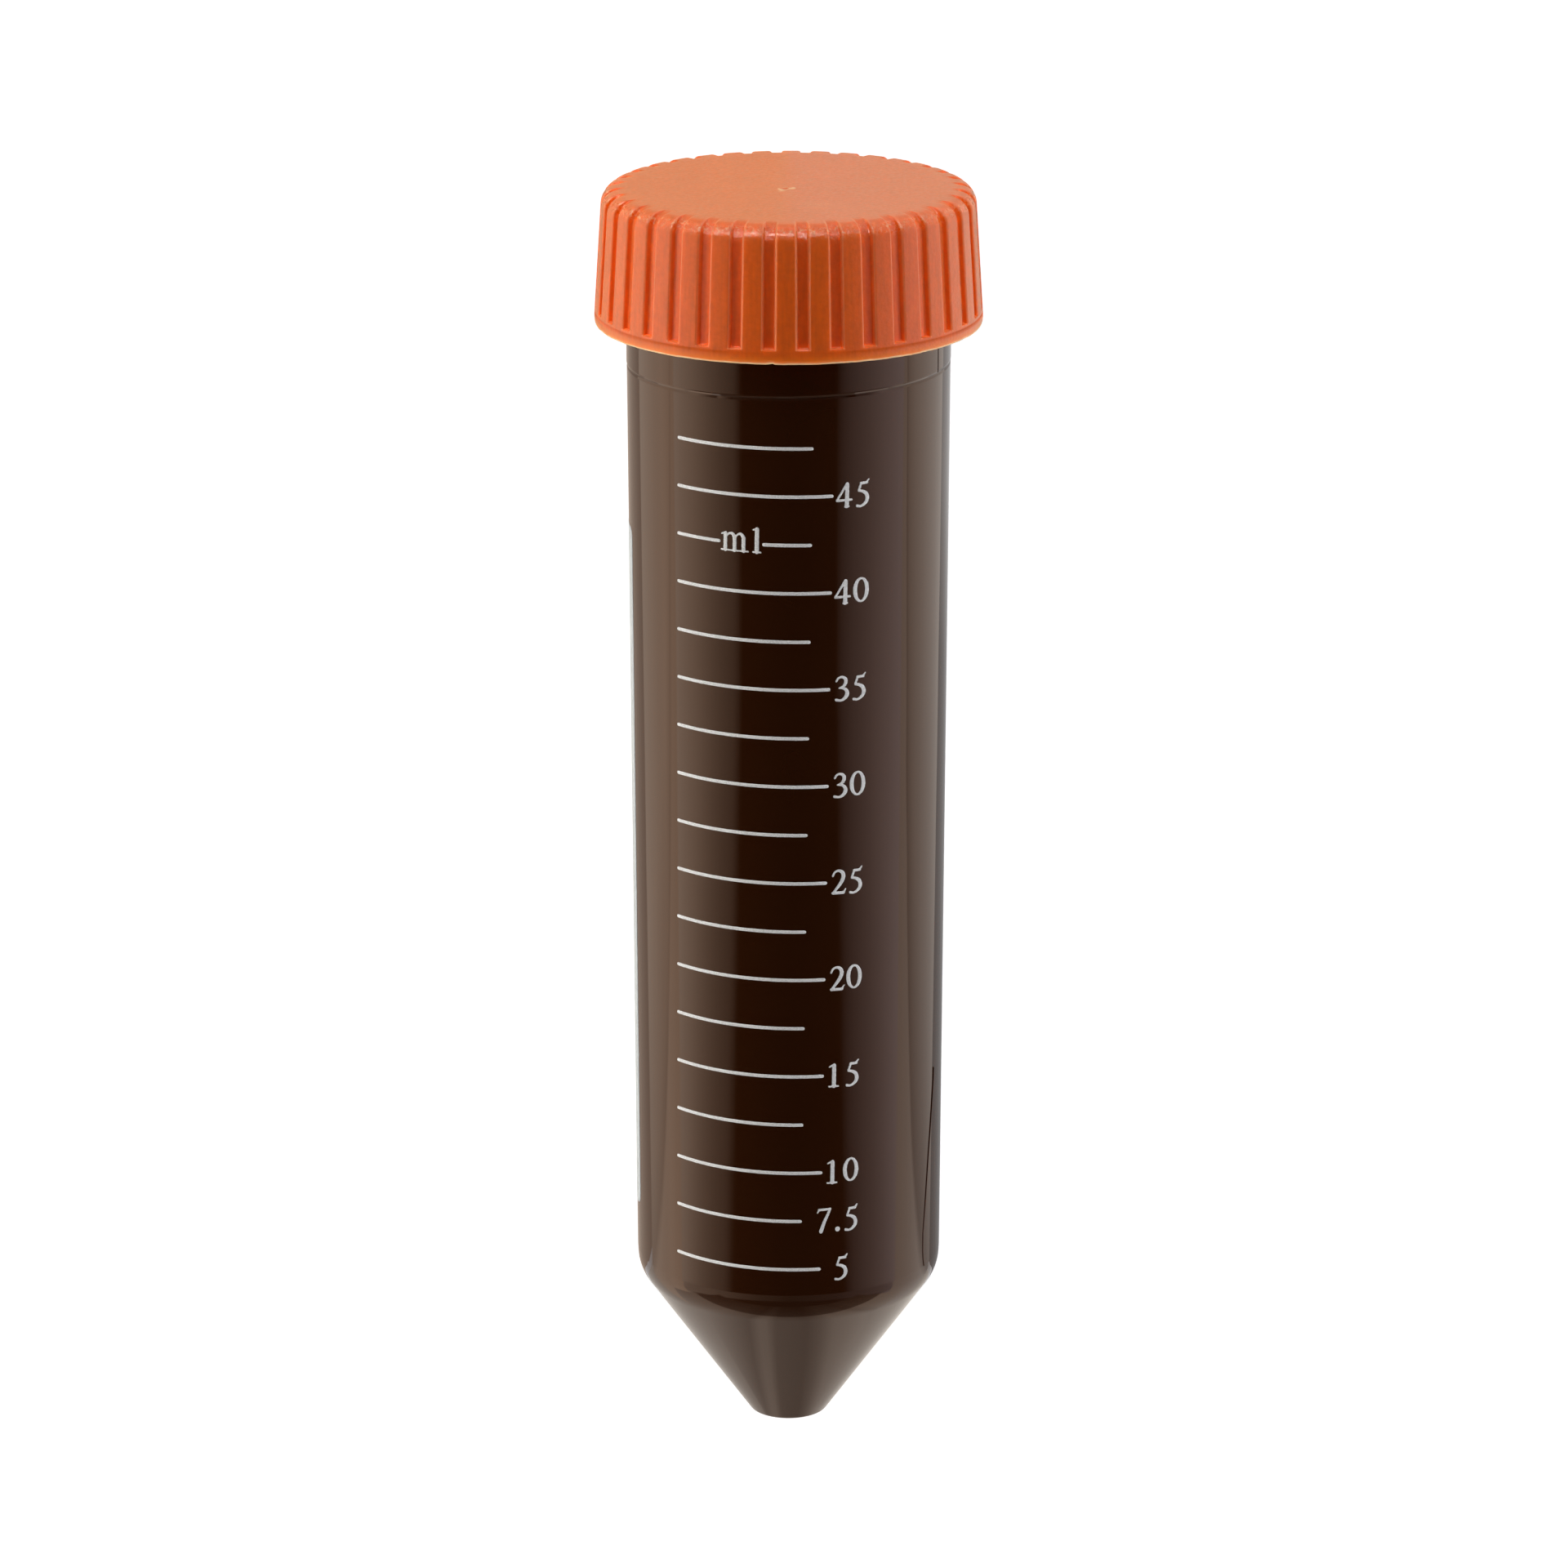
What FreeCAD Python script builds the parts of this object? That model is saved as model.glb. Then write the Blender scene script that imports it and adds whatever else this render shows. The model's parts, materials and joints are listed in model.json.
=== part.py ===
"""A 50 ml conical centrifuge tube with its screw cap, in millimetres.

Both mouldings are bodies of revolution. They are drawn upright, with the tube's tip at
the origin and its axis along +Z, and then laid on their side, as a loose tube comes to
rest: the cap's lower rim and the tube's shoulder touch the surface at Z = 0, the cap
points to +Y, and the side that carries the graduations faces up.
"""

import FreeCAD, Part
import math
import os
import Sketcher

# Driving dimensions in millimetres, each with what it measures. A taper is the radius
# gained or lost for each millimetre of height.
DIMENSIONS = {
    "rim_height": (115.14, "tip of the tube to its mouth"),
    "neck_height": (9.54, "threaded neck, from its foot to the mouth"),
    "band_height": (4.5, "plain band between the mould's split line and the neck"),
    "shoulder_height": (14.66, "tip to the corner between cone and barrel"),
    "tip_radius": (3.5, "flat end of the cone"),
    "barrel_radius": (14.52, "outside of the barrel at the split line"),
    "barrel_taper": (0.0056, "draft of the barrel, outside and inside"),
    "wall": (1.05, "wall of the barrel"),
    "cone_wall": (1.3, "wall of the cone, square to its surface"),
    "tip_floor": (1.6, "floor of the bore above the tip"),
    "split_step": (0.03, "step out at the split line"),
    "neck_step": (0.2, "step in from the band to the neck"),
    "shoulder_fillet": (4.0, "rounding of the shoulder outside"),
    "bore_fillet": (3.0, "rounding of the shoulder inside"),
    "tip_fillet": (0.6, "rounding of the tip outside"),
    "floor_fillet": (1.4, "rounding of the bore's floor"),
    "mouth_fillet": (0.25, "rounding of the mouth"),
    "thread_depth": (1.0, "room for the thread between neck and skirt"),
    "thread_clearance": (0.2, "running clearance of the thread"),
    "skirt_wall": (1.88, "cap's skirt at its lower rim, over a grip rib"),
    "side_taper": (0.064, "draft of the cap's side"),
    "cap_height": (12.04, "lower rim to top of the cap"),
    "cap_top": (1.6, "thickness of the cap's top"),
    "cap_fillet": (1.5, "rounding between the cap's side and top"),
    "ceiling_fillet": (0.9, "rounding between skirt and top inside the cap"),
    "lower_fillet": (0.15, "rounding of the cap's lower rim"),
    "seat_clearance": (0.1, "tube's mouth to the cap's top"),
    "plug_clearance": (0.1, "seal ring to the bore"),
    "plug_wall": (0.9, "thickness of the seal ring"),
    "plug_depth": (2.4, "height of the seal ring"),
    "grip_count": (36, "grooves around the cap"),
    "grip_width": (1.05, "width of a groove's floor"),
    "grip_depth": (0.45, "depth of a groove"),
    "grip_start": (1.2, "plain rim below the grooves"),
    "grip_fillet": (1.9, "bend of a groove's floor over the cap's corner"),
    "grip_turn": (4.15, "turn of the first groove from the graduations, in degrees"),
}

# Places worked out from the driving dimensions, in this order. Heights start at the tip.
PLACES = {
    # The tube outside
    "neck_foot": "Sizes.rim_height - Sizes.neck_height",
    "split_height": "Places.neck_foot - Sizes.band_height",
    "band_radius": "Sizes.barrel_radius + Sizes.split_step",
    "neck_radius": "Places.band_radius - Sizes.neck_step",
    "shoulder_radius": "Sizes.barrel_radius"
    " - Sizes.barrel_taper * (Places.split_height - Sizes.shoulder_height)",
    "cone_slope": "(Places.shoulder_radius - Sizes.tip_radius) / Sizes.shoulder_height",
    # The bore, whose cone runs parallel to the outside
    "mouth_radius": "Sizes.barrel_radius - Sizes.wall"
    " + Sizes.barrel_taper * (Sizes.rim_height - Places.split_height)",
    "bore_corner_height": "Sizes.shoulder_height"
    " + (Sizes.cone_wall * sqrt(1 + Places.cone_slope ^ 2) - Sizes.wall)"
    " / (Places.cone_slope - Sizes.barrel_taper)",
    "bore_corner_radius": "Places.mouth_radius"
    " - Sizes.barrel_taper * (Sizes.rim_height - Places.bore_corner_height)",
    "floor_radius": "Places.bore_corner_radius"
    " - Places.cone_slope * (Places.bore_corner_height - Sizes.tip_floor)",
    # The cap, which fits over the neck and into the mouth
    "ceiling_height": "Sizes.rim_height + Sizes.seat_clearance",
    "crown_height": "Places.ceiling_height + Sizes.cap_top",
    "lower_height": "Places.crown_height - Sizes.cap_height",
    "skirt_radius": "Places.neck_radius + Sizes.thread_depth + Sizes.thread_clearance",
    "lower_radius": "Places.skirt_radius + Sizes.skirt_wall",
    "crown_radius": "Places.lower_radius - Sizes.side_taper * Sizes.cap_height",
    "plug_radius": "Places.mouth_radius - Sizes.plug_clearance",
    "plug_bore_radius": "Places.plug_radius - Sizes.plug_wall",
    "plug_end_height": "Places.ceiling_height - Sizes.plug_depth",
    # The floor of a grip groove: a line along the side, then a bend onto the top
    "grip_foot_height": "Places.lower_height + Sizes.grip_start",
    "grip_foot_radius": "Places.lower_radius - Sizes.grip_depth"
    " - Sizes.side_taper * Sizes.grip_start",
    "side_length": "sqrt(1 + Sizes.side_taper ^ 2)",
    "grip_reach": "Sizes.grip_fillet * (Places.side_length - Sizes.side_taper)",
    "grip_end_radius": "Places.crown_radius - Sizes.grip_depth - Places.grip_reach",
    "grip_bend_radius": "Places.crown_radius - Sizes.grip_depth"
    " + Places.grip_reach * Sizes.side_taper / Places.side_length",
    "grip_bend_height": "Places.crown_height - Places.grip_reach / Places.side_length",
    "cutter_radius": "Places.lower_radius + 1",
    "cutter_height": "Places.crown_height + 1",
}

CLOSE = 1e-4  # lengths that differ by less are the same
AXIS = "0"  # the expression of a point on the axis or at the tip's height


def make_sizes(document):
    """The spreadsheet of driving dimensions and the set of places that follow them."""
    sheet = document.addObject("Spreadsheet::Sheet", "Sizes")
    for row, (name, (value, meaning)) in enumerate(DIMENSIONS.items(), start=1):
        sheet.set(f"A{row}", name)
        sheet.set(f"B{row}", str(value))
        sheet.set(f"C{row}", meaning)
        sheet.setAlias(f"B{row}", name)
    document.recompute()
    places = document.addObject("App::VarSet", "Places")
    for name, expression in PLACES.items():
        places.addProperty("App::PropertyFloat", name, "Places")
        places.setExpression(name, expression.replace("Places.", ""))
        document.recompute()
    return sheet, places


def make_body(document, label):
    """An empty body, whose label names the moulding."""
    body = document.addObject("PartDesign::Body", label)
    body.Label = label
    return body


def upright_sketch(body, name):
    """A sketch on the body's XZ plane: X is the radius and Y the height."""
    plane = next(
        feature
        for feature in body.Origin.OriginFeatures
        if feature.Role == "XZ_Plane"
    )
    sketch = body.newObject("Sketcher::SketchObject", name)
    sketch.AttachmentSupport = [(plane, "")]
    sketch.MapMode = "FlatFace"
    return sketch


def draw_outline(sketch, corners, bend=None):
    """A closed outline through corners, each a pair of expressions (radius, height).

    bend, where given, is (side, radius expression, centre as a pair of expressions) and
    makes that side an arc that bulges away from the centre.
    """
    document = sketch.Document
    points = [
        FreeCAD.Vector(
            float(sketch.evalExpression(radius)), float(sketch.evalExpression(height)), 0
        )
        for radius, height in corners
    ]
    sides = []
    for side, start in enumerate(points):
        end = points[(side + 1) % len(points)]
        if bend and side == bend[0]:
            centre = FreeCAD.Vector(*(float(sketch.evalExpression(e)) for e in bend[2]), 0)
            arm = float(sketch.evalExpression(bend[1]))
            middle = centre + ((start + end) * 0.5 - centre).normalize() * arm
            sides.append(sketch.addGeometry(Part.Arc(start, middle, end), False))
        else:
            sides.append(sketch.addGeometry(Part.LineSegment(start, end), False))

    def first_end(side):
        """Which end of a side lies on its corner, because an arc may run backwards."""
        near = sketch.getPoint(side, 1).distanceToPoint(points[side]) < CLOSE
        return 1 if near else 2

    for side in sides:
        after = (side + 1) % len(sides)
        sketch.addConstraint(
            Sketcher.Constraint(
                "Coincident", side, 3 - first_end(side), after, first_end(after)
            )
        )
    for side, expressions in enumerate(corners):
        place_point(sketch, side, first_end(side), expressions)
    if bend:
        radius = float(sketch.evalExpression(bend[1]))
        constraint = sketch.addConstraint(Sketcher.Constraint("Radius", bend[0], radius))
        sketch.setExpression(f"Constraints[{constraint}]", bend[1])
    document.recompute()
    return sketch


def place_point(sketch, side, end, expressions):
    """Ties one end of a side to a radius and a height."""
    for kind, axis, expression in zip(("DistanceX", "DistanceY"), (-2, -1), expressions):
        if expression == AXIS:
            constraint = Sketcher.Constraint("PointOnObject", side, end, axis)
            sketch.addConstraint(constraint)
            continue
        value = float(sketch.evalExpression(expression))
        constraint = sketch.addConstraint(
            Sketcher.Constraint(kind, -1, 1, side, end, value)
        )
        sketch.setExpression(f"Constraints[{constraint}]", expression)


def turn_profile(body, kind, name, corners):
    """Turns a closed outline right round the axis, as a Revolution or a Groove."""
    sketch = draw_outline(upright_sketch(body, f"{name}_outline"), corners)
    turned = body.newObject(f"PartDesign::{kind}", name)
    turned.Profile = sketch
    turned.ReferenceAxis = (sketch, ["V_Axis"])
    turned.Angle = 360
    sketch.Visibility = False
    body.Document.recompute()
    return turned


def round_edge(body, name, radius, height, size):
    """Rounds the circular edge of that radius and height, both given as expressions."""
    base = body.Tip
    wanted = [float(base.evalExpression(expression)) for expression in (radius, height)]
    edges = [
        f"Edge{number}"
        for number, edge in enumerate(base.Shape.Edges, start=1)
        if isinstance(edge.Curve, Part.Circle)
        and abs(edge.Curve.Radius - wanted[0]) < CLOSE
        and abs(edge.Curve.Center.z - wanted[1]) < CLOSE
    ]
    if not edges:
        raise ValueError(f"{name}: no edge at radius {wanted[0]:g}, height {wanted[1]:g}")
    fillet = body.newObject("PartDesign::Fillet", name)
    fillet.Base = (base, edges)
    fillet.setExpression("Radius", size)
    body.Document.recompute()
    return fillet


def make_tube(document):
    """The tube: tapered barrel, conical end, plain band and neck, with an open bore."""
    body = make_body(document, "tube_body")
    turn_profile(
        body,
        "Revolution",
        "outside",
        [
            (AXIS, AXIS),
            ("Sizes.tip_radius", AXIS),
            ("Places.shoulder_radius", "Sizes.shoulder_height"),
            ("Sizes.barrel_radius", "Places.split_height"),
            ("Places.band_radius", "Places.split_height"),
            ("Places.band_radius", "Places.neck_foot"),
            ("Places.neck_radius", "Places.neck_foot"),
            ("Places.neck_radius", "Sizes.rim_height"),
            (AXIS, "Sizes.rim_height"),
        ],
    )
    solid_volume = body.Shape.Volume
    turn_profile(
        body,
        "Groove",
        "bore",
        [
            (AXIS, "Sizes.tip_floor"),
            ("Places.floor_radius", "Sizes.tip_floor"),
            ("Places.bore_corner_radius", "Places.bore_corner_height"),
            ("Places.mouth_radius", "Sizes.rim_height"),
            (AXIS, "Sizes.rim_height"),
        ],
    )
    if body.Shape.Volume > 0.5 * solid_volume:
        raise ValueError("the bore isn't cut")
    shoulder = ("Places.shoulder_radius", "Sizes.shoulder_height")
    round_edge(body, "outer_shoulder", *shoulder, "Sizes.shoulder_fillet")
    round_edge(body, "tip_edge", "Sizes.tip_radius", AXIS, "Sizes.tip_fillet")
    bore_corner = ("Places.bore_corner_radius", "Places.bore_corner_height")
    round_edge(body, "inner_shoulder", *bore_corner, "Sizes.bore_fillet")
    floor = ("Places.floor_radius", "Sizes.tip_floor")
    round_edge(body, "bore_floor", *floor, "Sizes.floor_fillet")
    for name, radius in (("mouth_inside", "mouth_radius"), ("mouth_outside", "neck_radius")):
        edge = (f"Places.{radius}", "Sizes.rim_height")
        round_edge(body, name, *edge, "Sizes.mouth_fillet")
    return body


def make_cap(document):
    """The cap: a ribbed skirt, a flat top and a seal ring that enters the tube's bore."""
    body = make_body(document, "screw_cap")
    turn_profile(
        body,
        "Revolution",
        "blank",
        [
            ("Places.skirt_radius", "Places.lower_height"),
            ("Places.lower_radius", "Places.lower_height"),
            ("Places.crown_radius", "Places.crown_height"),
            (AXIS, "Places.crown_height"),
            (AXIS, "Places.ceiling_height"),
            ("Places.plug_bore_radius", "Places.ceiling_height"),
            ("Places.plug_bore_radius", "Places.plug_end_height"),
            ("Places.plug_radius", "Places.plug_end_height"),
            ("Places.plug_radius", "Places.ceiling_height"),
            ("Places.skirt_radius", "Places.ceiling_height"),
        ],
    )
    crown = ("Places.crown_radius", "Places.crown_height")
    round_edge(body, "crown_edge", *crown, "Sizes.cap_fillet")
    ceiling = ("Places.skirt_radius", "Places.ceiling_height")
    round_edge(body, "ceiling_edge", *ceiling, "Sizes.ceiling_fillet")
    lower = ("Places.lower_radius", "Places.lower_height")
    round_edge(body, "lower_edge", *lower, "Sizes.lower_fillet")
    cut_grip(body)
    return body


def cut_grip(body):
    """The grip grooves, one cut through the side and copied around the axis."""
    document = body.Document
    sketch = upright_sketch(body, "grip_outline")
    sketch.AttachmentOffset = FreeCAD.Placement(
        FreeCAD.Vector(), FreeCAD.Rotation(FreeCAD.Vector(0, 1, 0), 0)
    )
    sketch.setExpression(
        "AttachmentOffset.Rotation.Angle", "(Sizes.grip_turn - 90) * 1 deg"
    )
    bend_centre = (
        "Places.grip_end_radius",
        "Places.crown_height - Sizes.grip_fillet",
    )
    draw_outline(
        sketch,
        [
            ("Places.grip_foot_radius", "Places.grip_foot_height"),
            ("Places.grip_bend_radius", "Places.grip_bend_height"),
            ("Places.grip_end_radius", "Places.crown_height"),
            ("Places.grip_end_radius", "Places.cutter_height"),
            ("Places.cutter_radius", "Places.cutter_height"),
            ("Places.cutter_radius", "Places.grip_foot_height"),
        ],
        bend=(1, "Sizes.grip_fillet", bend_centre),
    )
    whole = body.Shape.Volume
    groove = body.newObject("PartDesign::Pocket", "grip_groove")
    groove.Profile = sketch
    groove.SideType = "Symmetric"
    groove.setExpression("Length", "Sizes.grip_width")
    sketch.Visibility = False
    document.recompute()
    one_groove = whole - body.Shape.Volume
    if one_groove <= 0:
        raise ValueError("the first grip groove cuts nothing")
    pattern = body.newObject("PartDesign::PolarPattern", "grip_grooves")
    pattern.Originals = [groove]
    pattern.Axis = (sketch, ["V_Axis"])
    pattern.Angle = 360
    pattern.setExpression("Occurrences", "Sizes.grip_count")
    body.Tip = pattern
    document.recompute()
    all_grooves = whole - body.Shape.Volume
    if abs(all_grooves - pattern.Occurrences * one_groove) > 0.01 * all_grooves:
        raise ValueError("the grip grooves aren't all cut")


def rounding_centre(corner, slopes, radius):
    """Centre of the circle that rounds a corner of the outline, as (radius, height).

    slopes are the outward normals of the two sides, each as (radius, height).
    """
    first, second = (FreeCAD.Vector(*slope, 0).normalize() for slope in slopes)
    inward = (first + second) * (radius / (1 + first.dot(second)))
    return FreeCAD.Vector(*corner, 0) - inward


def resting_placement(sheet, places):
    """Lays the upright tube on its side, on the cap's lower rim and the shoulder.

    The line that touches both roundings leans on the axis by the tilt, and its distance
    from the tip is how high the tip's centre lies.
    """
    rim = rounding_centre(
        (places.lower_radius, places.lower_height),
        ((1, sheet.side_taper), (0, -1)),
        sheet.lower_fillet,
    )
    shoulder = rounding_centre(
        (places.shoulder_radius, sheet.shoulder_height),
        ((1, -sheet.barrel_taper), (1, -places.cone_slope)),
        sheet.shoulder_fillet,
    )
    span = rim - shoulder
    rise = math.asin((sheet.shoulder_fillet - sheet.lower_fillet) / span.Length)
    tilt = math.atan2(span.x, span.y) - rise
    height = rim.x * math.cos(tilt) - rim.y * math.sin(tilt) + sheet.lower_fillet
    turn = FreeCAD.Rotation(FreeCAD.Vector(1, 0, 0), math.degrees(tilt) - 90)
    print(f"tilt {math.degrees(tilt):.4f} degrees, tip's centre {height:.4f} mm up")
    return FreeCAD.Placement(FreeCAD.Vector(0, 0, height), turn)


def lay_down(bodies, sheet, places):
    """Places the bodies at rest, with the middle of their length at Y = 0."""
    placement = resting_placement(sheet, places)
    for body in bodies:
        body.Placement = placement
    bodies[0].Document.recompute()
    boxes = [body.Shape.optimalBoundingBox(False, False) for body in bodies]
    middle = (min(box.YMin for box in boxes) + max(box.YMax for box in boxes)) / 2
    placement.Base.y = -middle
    for body in bodies:
        body.Placement = placement
    bodies[0].Document.recompute()
    print(f"tip's centre at Y {placement.Base.y:.4f} mm")


def check(document, bodies):
    """Stops on a feature that failed, or on a shape that isn't one valid solid."""
    for feature in document.Objects:
        if {"Invalid", "Error"} & set(feature.State):
            raise RuntimeError(f"{feature.Label} failed: {feature.State}")
    for body in bodies:
        shape = body.Shape
        if shape.isNull() or not shape.isValid() or len(shape.Solids) != 1:
            raise RuntimeError(f"{body.Label} isn't one valid solid")


def main():
    """Builds the tube and its cap, and writes each to its own STEP file."""
    document = FreeCAD.newDocument("conical_tube")
    sheet, places = make_sizes(document)
    bodies = [make_tube(document), make_cap(document)]
    lay_down(bodies, sheet, places)
    check(document, bodies)
    os.makedirs("parts", exist_ok=True)
    for body in bodies:
        body.Shape.exportStep(f"parts/{body.Label}.step")
        box = body.Shape.BoundBox
        print(
            f"{body.Label}: {body.Shape.Volume:.1f} mm3,"
            f" {box.XLength:.2f} x {box.YLength:.2f} x {box.ZLength:.2f} mm"
        )


main()
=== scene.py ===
"""A 50 ml conical tube with its screw cap: the visual model, its studio and its camera.

Lengths are millimetres along the tube's own axes (tip at the origin, +Z towards the cap, the
graduations facing -Y) until Axes.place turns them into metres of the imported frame.
"""
import json
import logging
import math
from collections.abc import Callable, Iterable, Sequence
from dataclasses import dataclass
from enum import Enum
from typing import Any

import bmesh
import bpy
import numpy as np
from mathutils import Matrix, Vector


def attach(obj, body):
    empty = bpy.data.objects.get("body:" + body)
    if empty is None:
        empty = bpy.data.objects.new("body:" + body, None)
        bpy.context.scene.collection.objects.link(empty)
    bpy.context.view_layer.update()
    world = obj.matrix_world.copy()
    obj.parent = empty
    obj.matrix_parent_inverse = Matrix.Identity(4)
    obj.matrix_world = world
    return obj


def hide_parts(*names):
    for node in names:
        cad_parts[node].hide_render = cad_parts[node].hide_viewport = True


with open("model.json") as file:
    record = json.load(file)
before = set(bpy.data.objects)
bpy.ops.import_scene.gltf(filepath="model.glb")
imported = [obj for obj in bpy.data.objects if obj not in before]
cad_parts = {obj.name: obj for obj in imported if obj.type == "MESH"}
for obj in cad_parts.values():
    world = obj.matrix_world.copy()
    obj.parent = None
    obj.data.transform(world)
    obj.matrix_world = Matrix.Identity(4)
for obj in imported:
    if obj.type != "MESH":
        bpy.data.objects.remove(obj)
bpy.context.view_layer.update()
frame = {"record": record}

LOG = logging.getLogger("conical_tube")
MM = 0.001
TURN = 2 * math.pi

Corner = tuple[float, float, float]
Face = tuple[int, ...]
Skin = tuple[np.ndarray, list[Face]]
Film = tuple[np.ndarray, list[Face], list[tuple[int, int]]]
Levels = tuple[tuple[float, float], ...]
Field = Callable[[np.ndarray, np.ndarray], np.ndarray]


class Body(Enum):
    """The CAD bodies that pieces ride on."""

    TUBE = "tube"
    CAP = "cap"


class Slot(Enum):
    """The record's material slots."""

    TUBE = "tube"
    CAP = "cap"
    INK = "graduation_ink"


class LineLength(Enum):
    """The two lengths of graduation line, in millimetres round the barrel."""

    SHORT = 12.78
    LONG = 14.62


# ---------------------------------------------------------------- shape helpers


def rounded(corners: Sequence[Corner], steps: int = 6, support: float = 0.12) -> np.ndarray:
    """Rounds the corners of an open polyline.

    Args:
        corners: (x, y, fillet radius) of each corner; the radius of both ends is ignored.
        steps: pieces that each fillet is divided into.
        support: length of the short run left beside each fillet, which keeps flats flat.

    Returns:
        An (n, 2) array of points.
    """
    out: list[np.ndarray] = [np.array(corners[0][:2], float)]
    for before, here, after in zip(corners, corners[1:], corners[2:]):
        p, q, s = (np.array(c[:2], float) for c in (before, here, after))
        a, b = p - q, s - q
        la, lb = np.linalg.norm(a), np.linalg.norm(b)
        a, b = a / la, b / lb
        half = math.acos(float(np.clip(a @ b, -1, 1))) / 2
        radius = here[2]
        cut = radius / math.tan(half)
        if radius <= 0 or cut < 1e-6:
            out.append(q)
            continue
        centre = q + (a + b) / np.linalg.norm(a + b) * radius / math.sin(half)
        start, end = q + a * cut, q + b * cut
        first, last = start - centre, end - centre
        sweep = math.atan2(first[0] * last[1] - first[1] * last[0], first @ last)
        if la - cut > 3 * support:
            out.append(start + a * support)
        for k in range(steps + 1):
            t = sweep * k / steps
            c, n = math.cos(t), math.sin(t)
            out.append(centre + np.array([c * first[0] - n * first[1], n * first[0] + c * first[1]]))
        if lb - cut > 3 * support:
            out.append(end + b * support)
    out.append(np.array(corners[-1][:2], float))
    kept = [out[0]]
    kept += [p for p in out[1:] if np.linalg.norm(p - kept[-1]) > 1e-5]
    return np.array(kept)


def on_ring(radius: np.ndarray, angle: np.ndarray, height: np.ndarray) -> np.ndarray:
    """Points at a radius, an angle from the facing side and a height, as (..., 3)."""
    return np.stack([radius * np.sin(angle), -radius * np.cos(angle), height + 0 * angle], -1)


def ripple(x: np.ndarray, y: np.ndarray, seed: float = 0.0) -> np.ndarray:
    """A smooth uneven field over cells of size one, the same each run.

    Args:
        x: place one way, in cells.
        y: place the other way, in cells.
        seed: shifts the field, so that two of them differ.

    Returns:
        The field there, about -1 to 1.
    """
    total = np.zeros(np.broadcast(x, y).shape)
    for k, (a, b) in enumerate(((1.9, 0.7), (-1.3, 1.7), (0.6, -2.3), (2.9, 1.9), (-3.1, 2.7))):
        total = total + np.sin(a * x * 2 + b * y * 2 + 1.7 * k + seed) / (1 + 0.4 * k)
    return total / 2.4


def closed_skin(rings: np.ndarray, start: np.ndarray, end: np.ndarray) -> Skin:
    """Joins rings of points into one closed skin with a pole at each end.

    Args:
        rings: an (n, m, 3) array, n rings of m points.
        start: the pole before the first ring.
        end: the pole after the last ring.

    Returns:
        The points and the faces.
    """
    n, m = rings.shape[:2]
    points = np.vstack([rings.reshape(-1, 3), start, end])
    faces: list[Face] = [
        (i * m + j, i * m + (j + 1) % m, (i + 1) * m + (j + 1) % m, (i + 1) * m + j)
        for i in range(n - 1) for j in range(m)]
    faces += [(n * m, (j + 1) % m, j) for j in range(m)]
    base = (n - 1) * m
    faces += [(n * m + 1, base + j, base + (j + 1) % m) for j in range(m)]
    return points, faces


def film(inside: Field, box: tuple[float, float, float, float], cell: tuple[float, float]) -> Film:
    """Tiles the inside of a flat outline with quads whose rim lies on the outline.

    Args:
        inside: signed distance to the outline, negative inside.
        box: lowest and highest corner that the tiles cover.
        cell: size of a tile each way.

    Returns:
        The flat points, the tiles and the rim's edges.
    """
    nu, nv = (int(math.ceil((box[2 + k] - box[k]) / cell[k])) for k in (0, 1))
    u = box[0] + np.arange(nu + 1) * cell[0]
    v = box[1] + np.arange(nv + 1) * cell[1]
    gu, gv = np.meshgrid(u, v, indexing="ij")
    kept = inside(gu[:-1, :-1] + cell[0] / 2, gv[:-1, :-1] + cell[1] / 2) < 0
    # Two tiles that only share a corner would pinch the rim, so one beside them is filled in.
    for _ in range(3):
        a, b, c, d = kept[:-1, :-1], kept[1:, :-1], kept[:-1, 1:], kept[1:, 1:]
        kept[1:, :-1] |= a & d & ~b & ~c
        kept[:-1, :-1] |= b & c & ~a & ~d
    tiles = [
        (i * (nv + 1) + j, (i + 1) * (nv + 1) + j, (i + 1) * (nv + 1) + j + 1, i * (nv + 1) + j + 1)
        for i, j in np.argwhere(kept)
    ]
    seen: dict[tuple[int, int], tuple[int, int] | None] = {}
    for t in tiles:
        for a, b in zip(t, t[1:] + t[:1]):
            key = (min(a, b), max(a, b))
            seen[key] = None if key in seen else (a, b)
    rim = [e for e in seen.values() if e]
    points = np.stack([gu.ravel(), gv.ravel()], -1)
    # The rim's points slide down the field onto the outline, less than a tile a time.
    edge = sorted({k for e in rim for k in e})
    step = 1e-3
    for _ in range(4):
        p = points[edge]
        f = inside(p[:, 0], p[:, 1])
        g = np.stack([inside(p[:, 0] + step, p[:, 1]) - f, inside(p[:, 0], p[:, 1] + step) - f], -1)
        g /= step
        move = -f[:, None] * g / np.maximum((g * g).sum(1, keepdims=True), 0.25)
        points[edge] = p + np.clip(move, -0.6 * min(cell), 0.6 * min(cell))
    used = sorted({k for t in tiles for k in t})
    new = {k: n for n, k in enumerate(used)}
    return (points[used], [tuple(new[k] for k in t) for t in tiles],
            [(new[a], new[b]) for a, b in rim])


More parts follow.
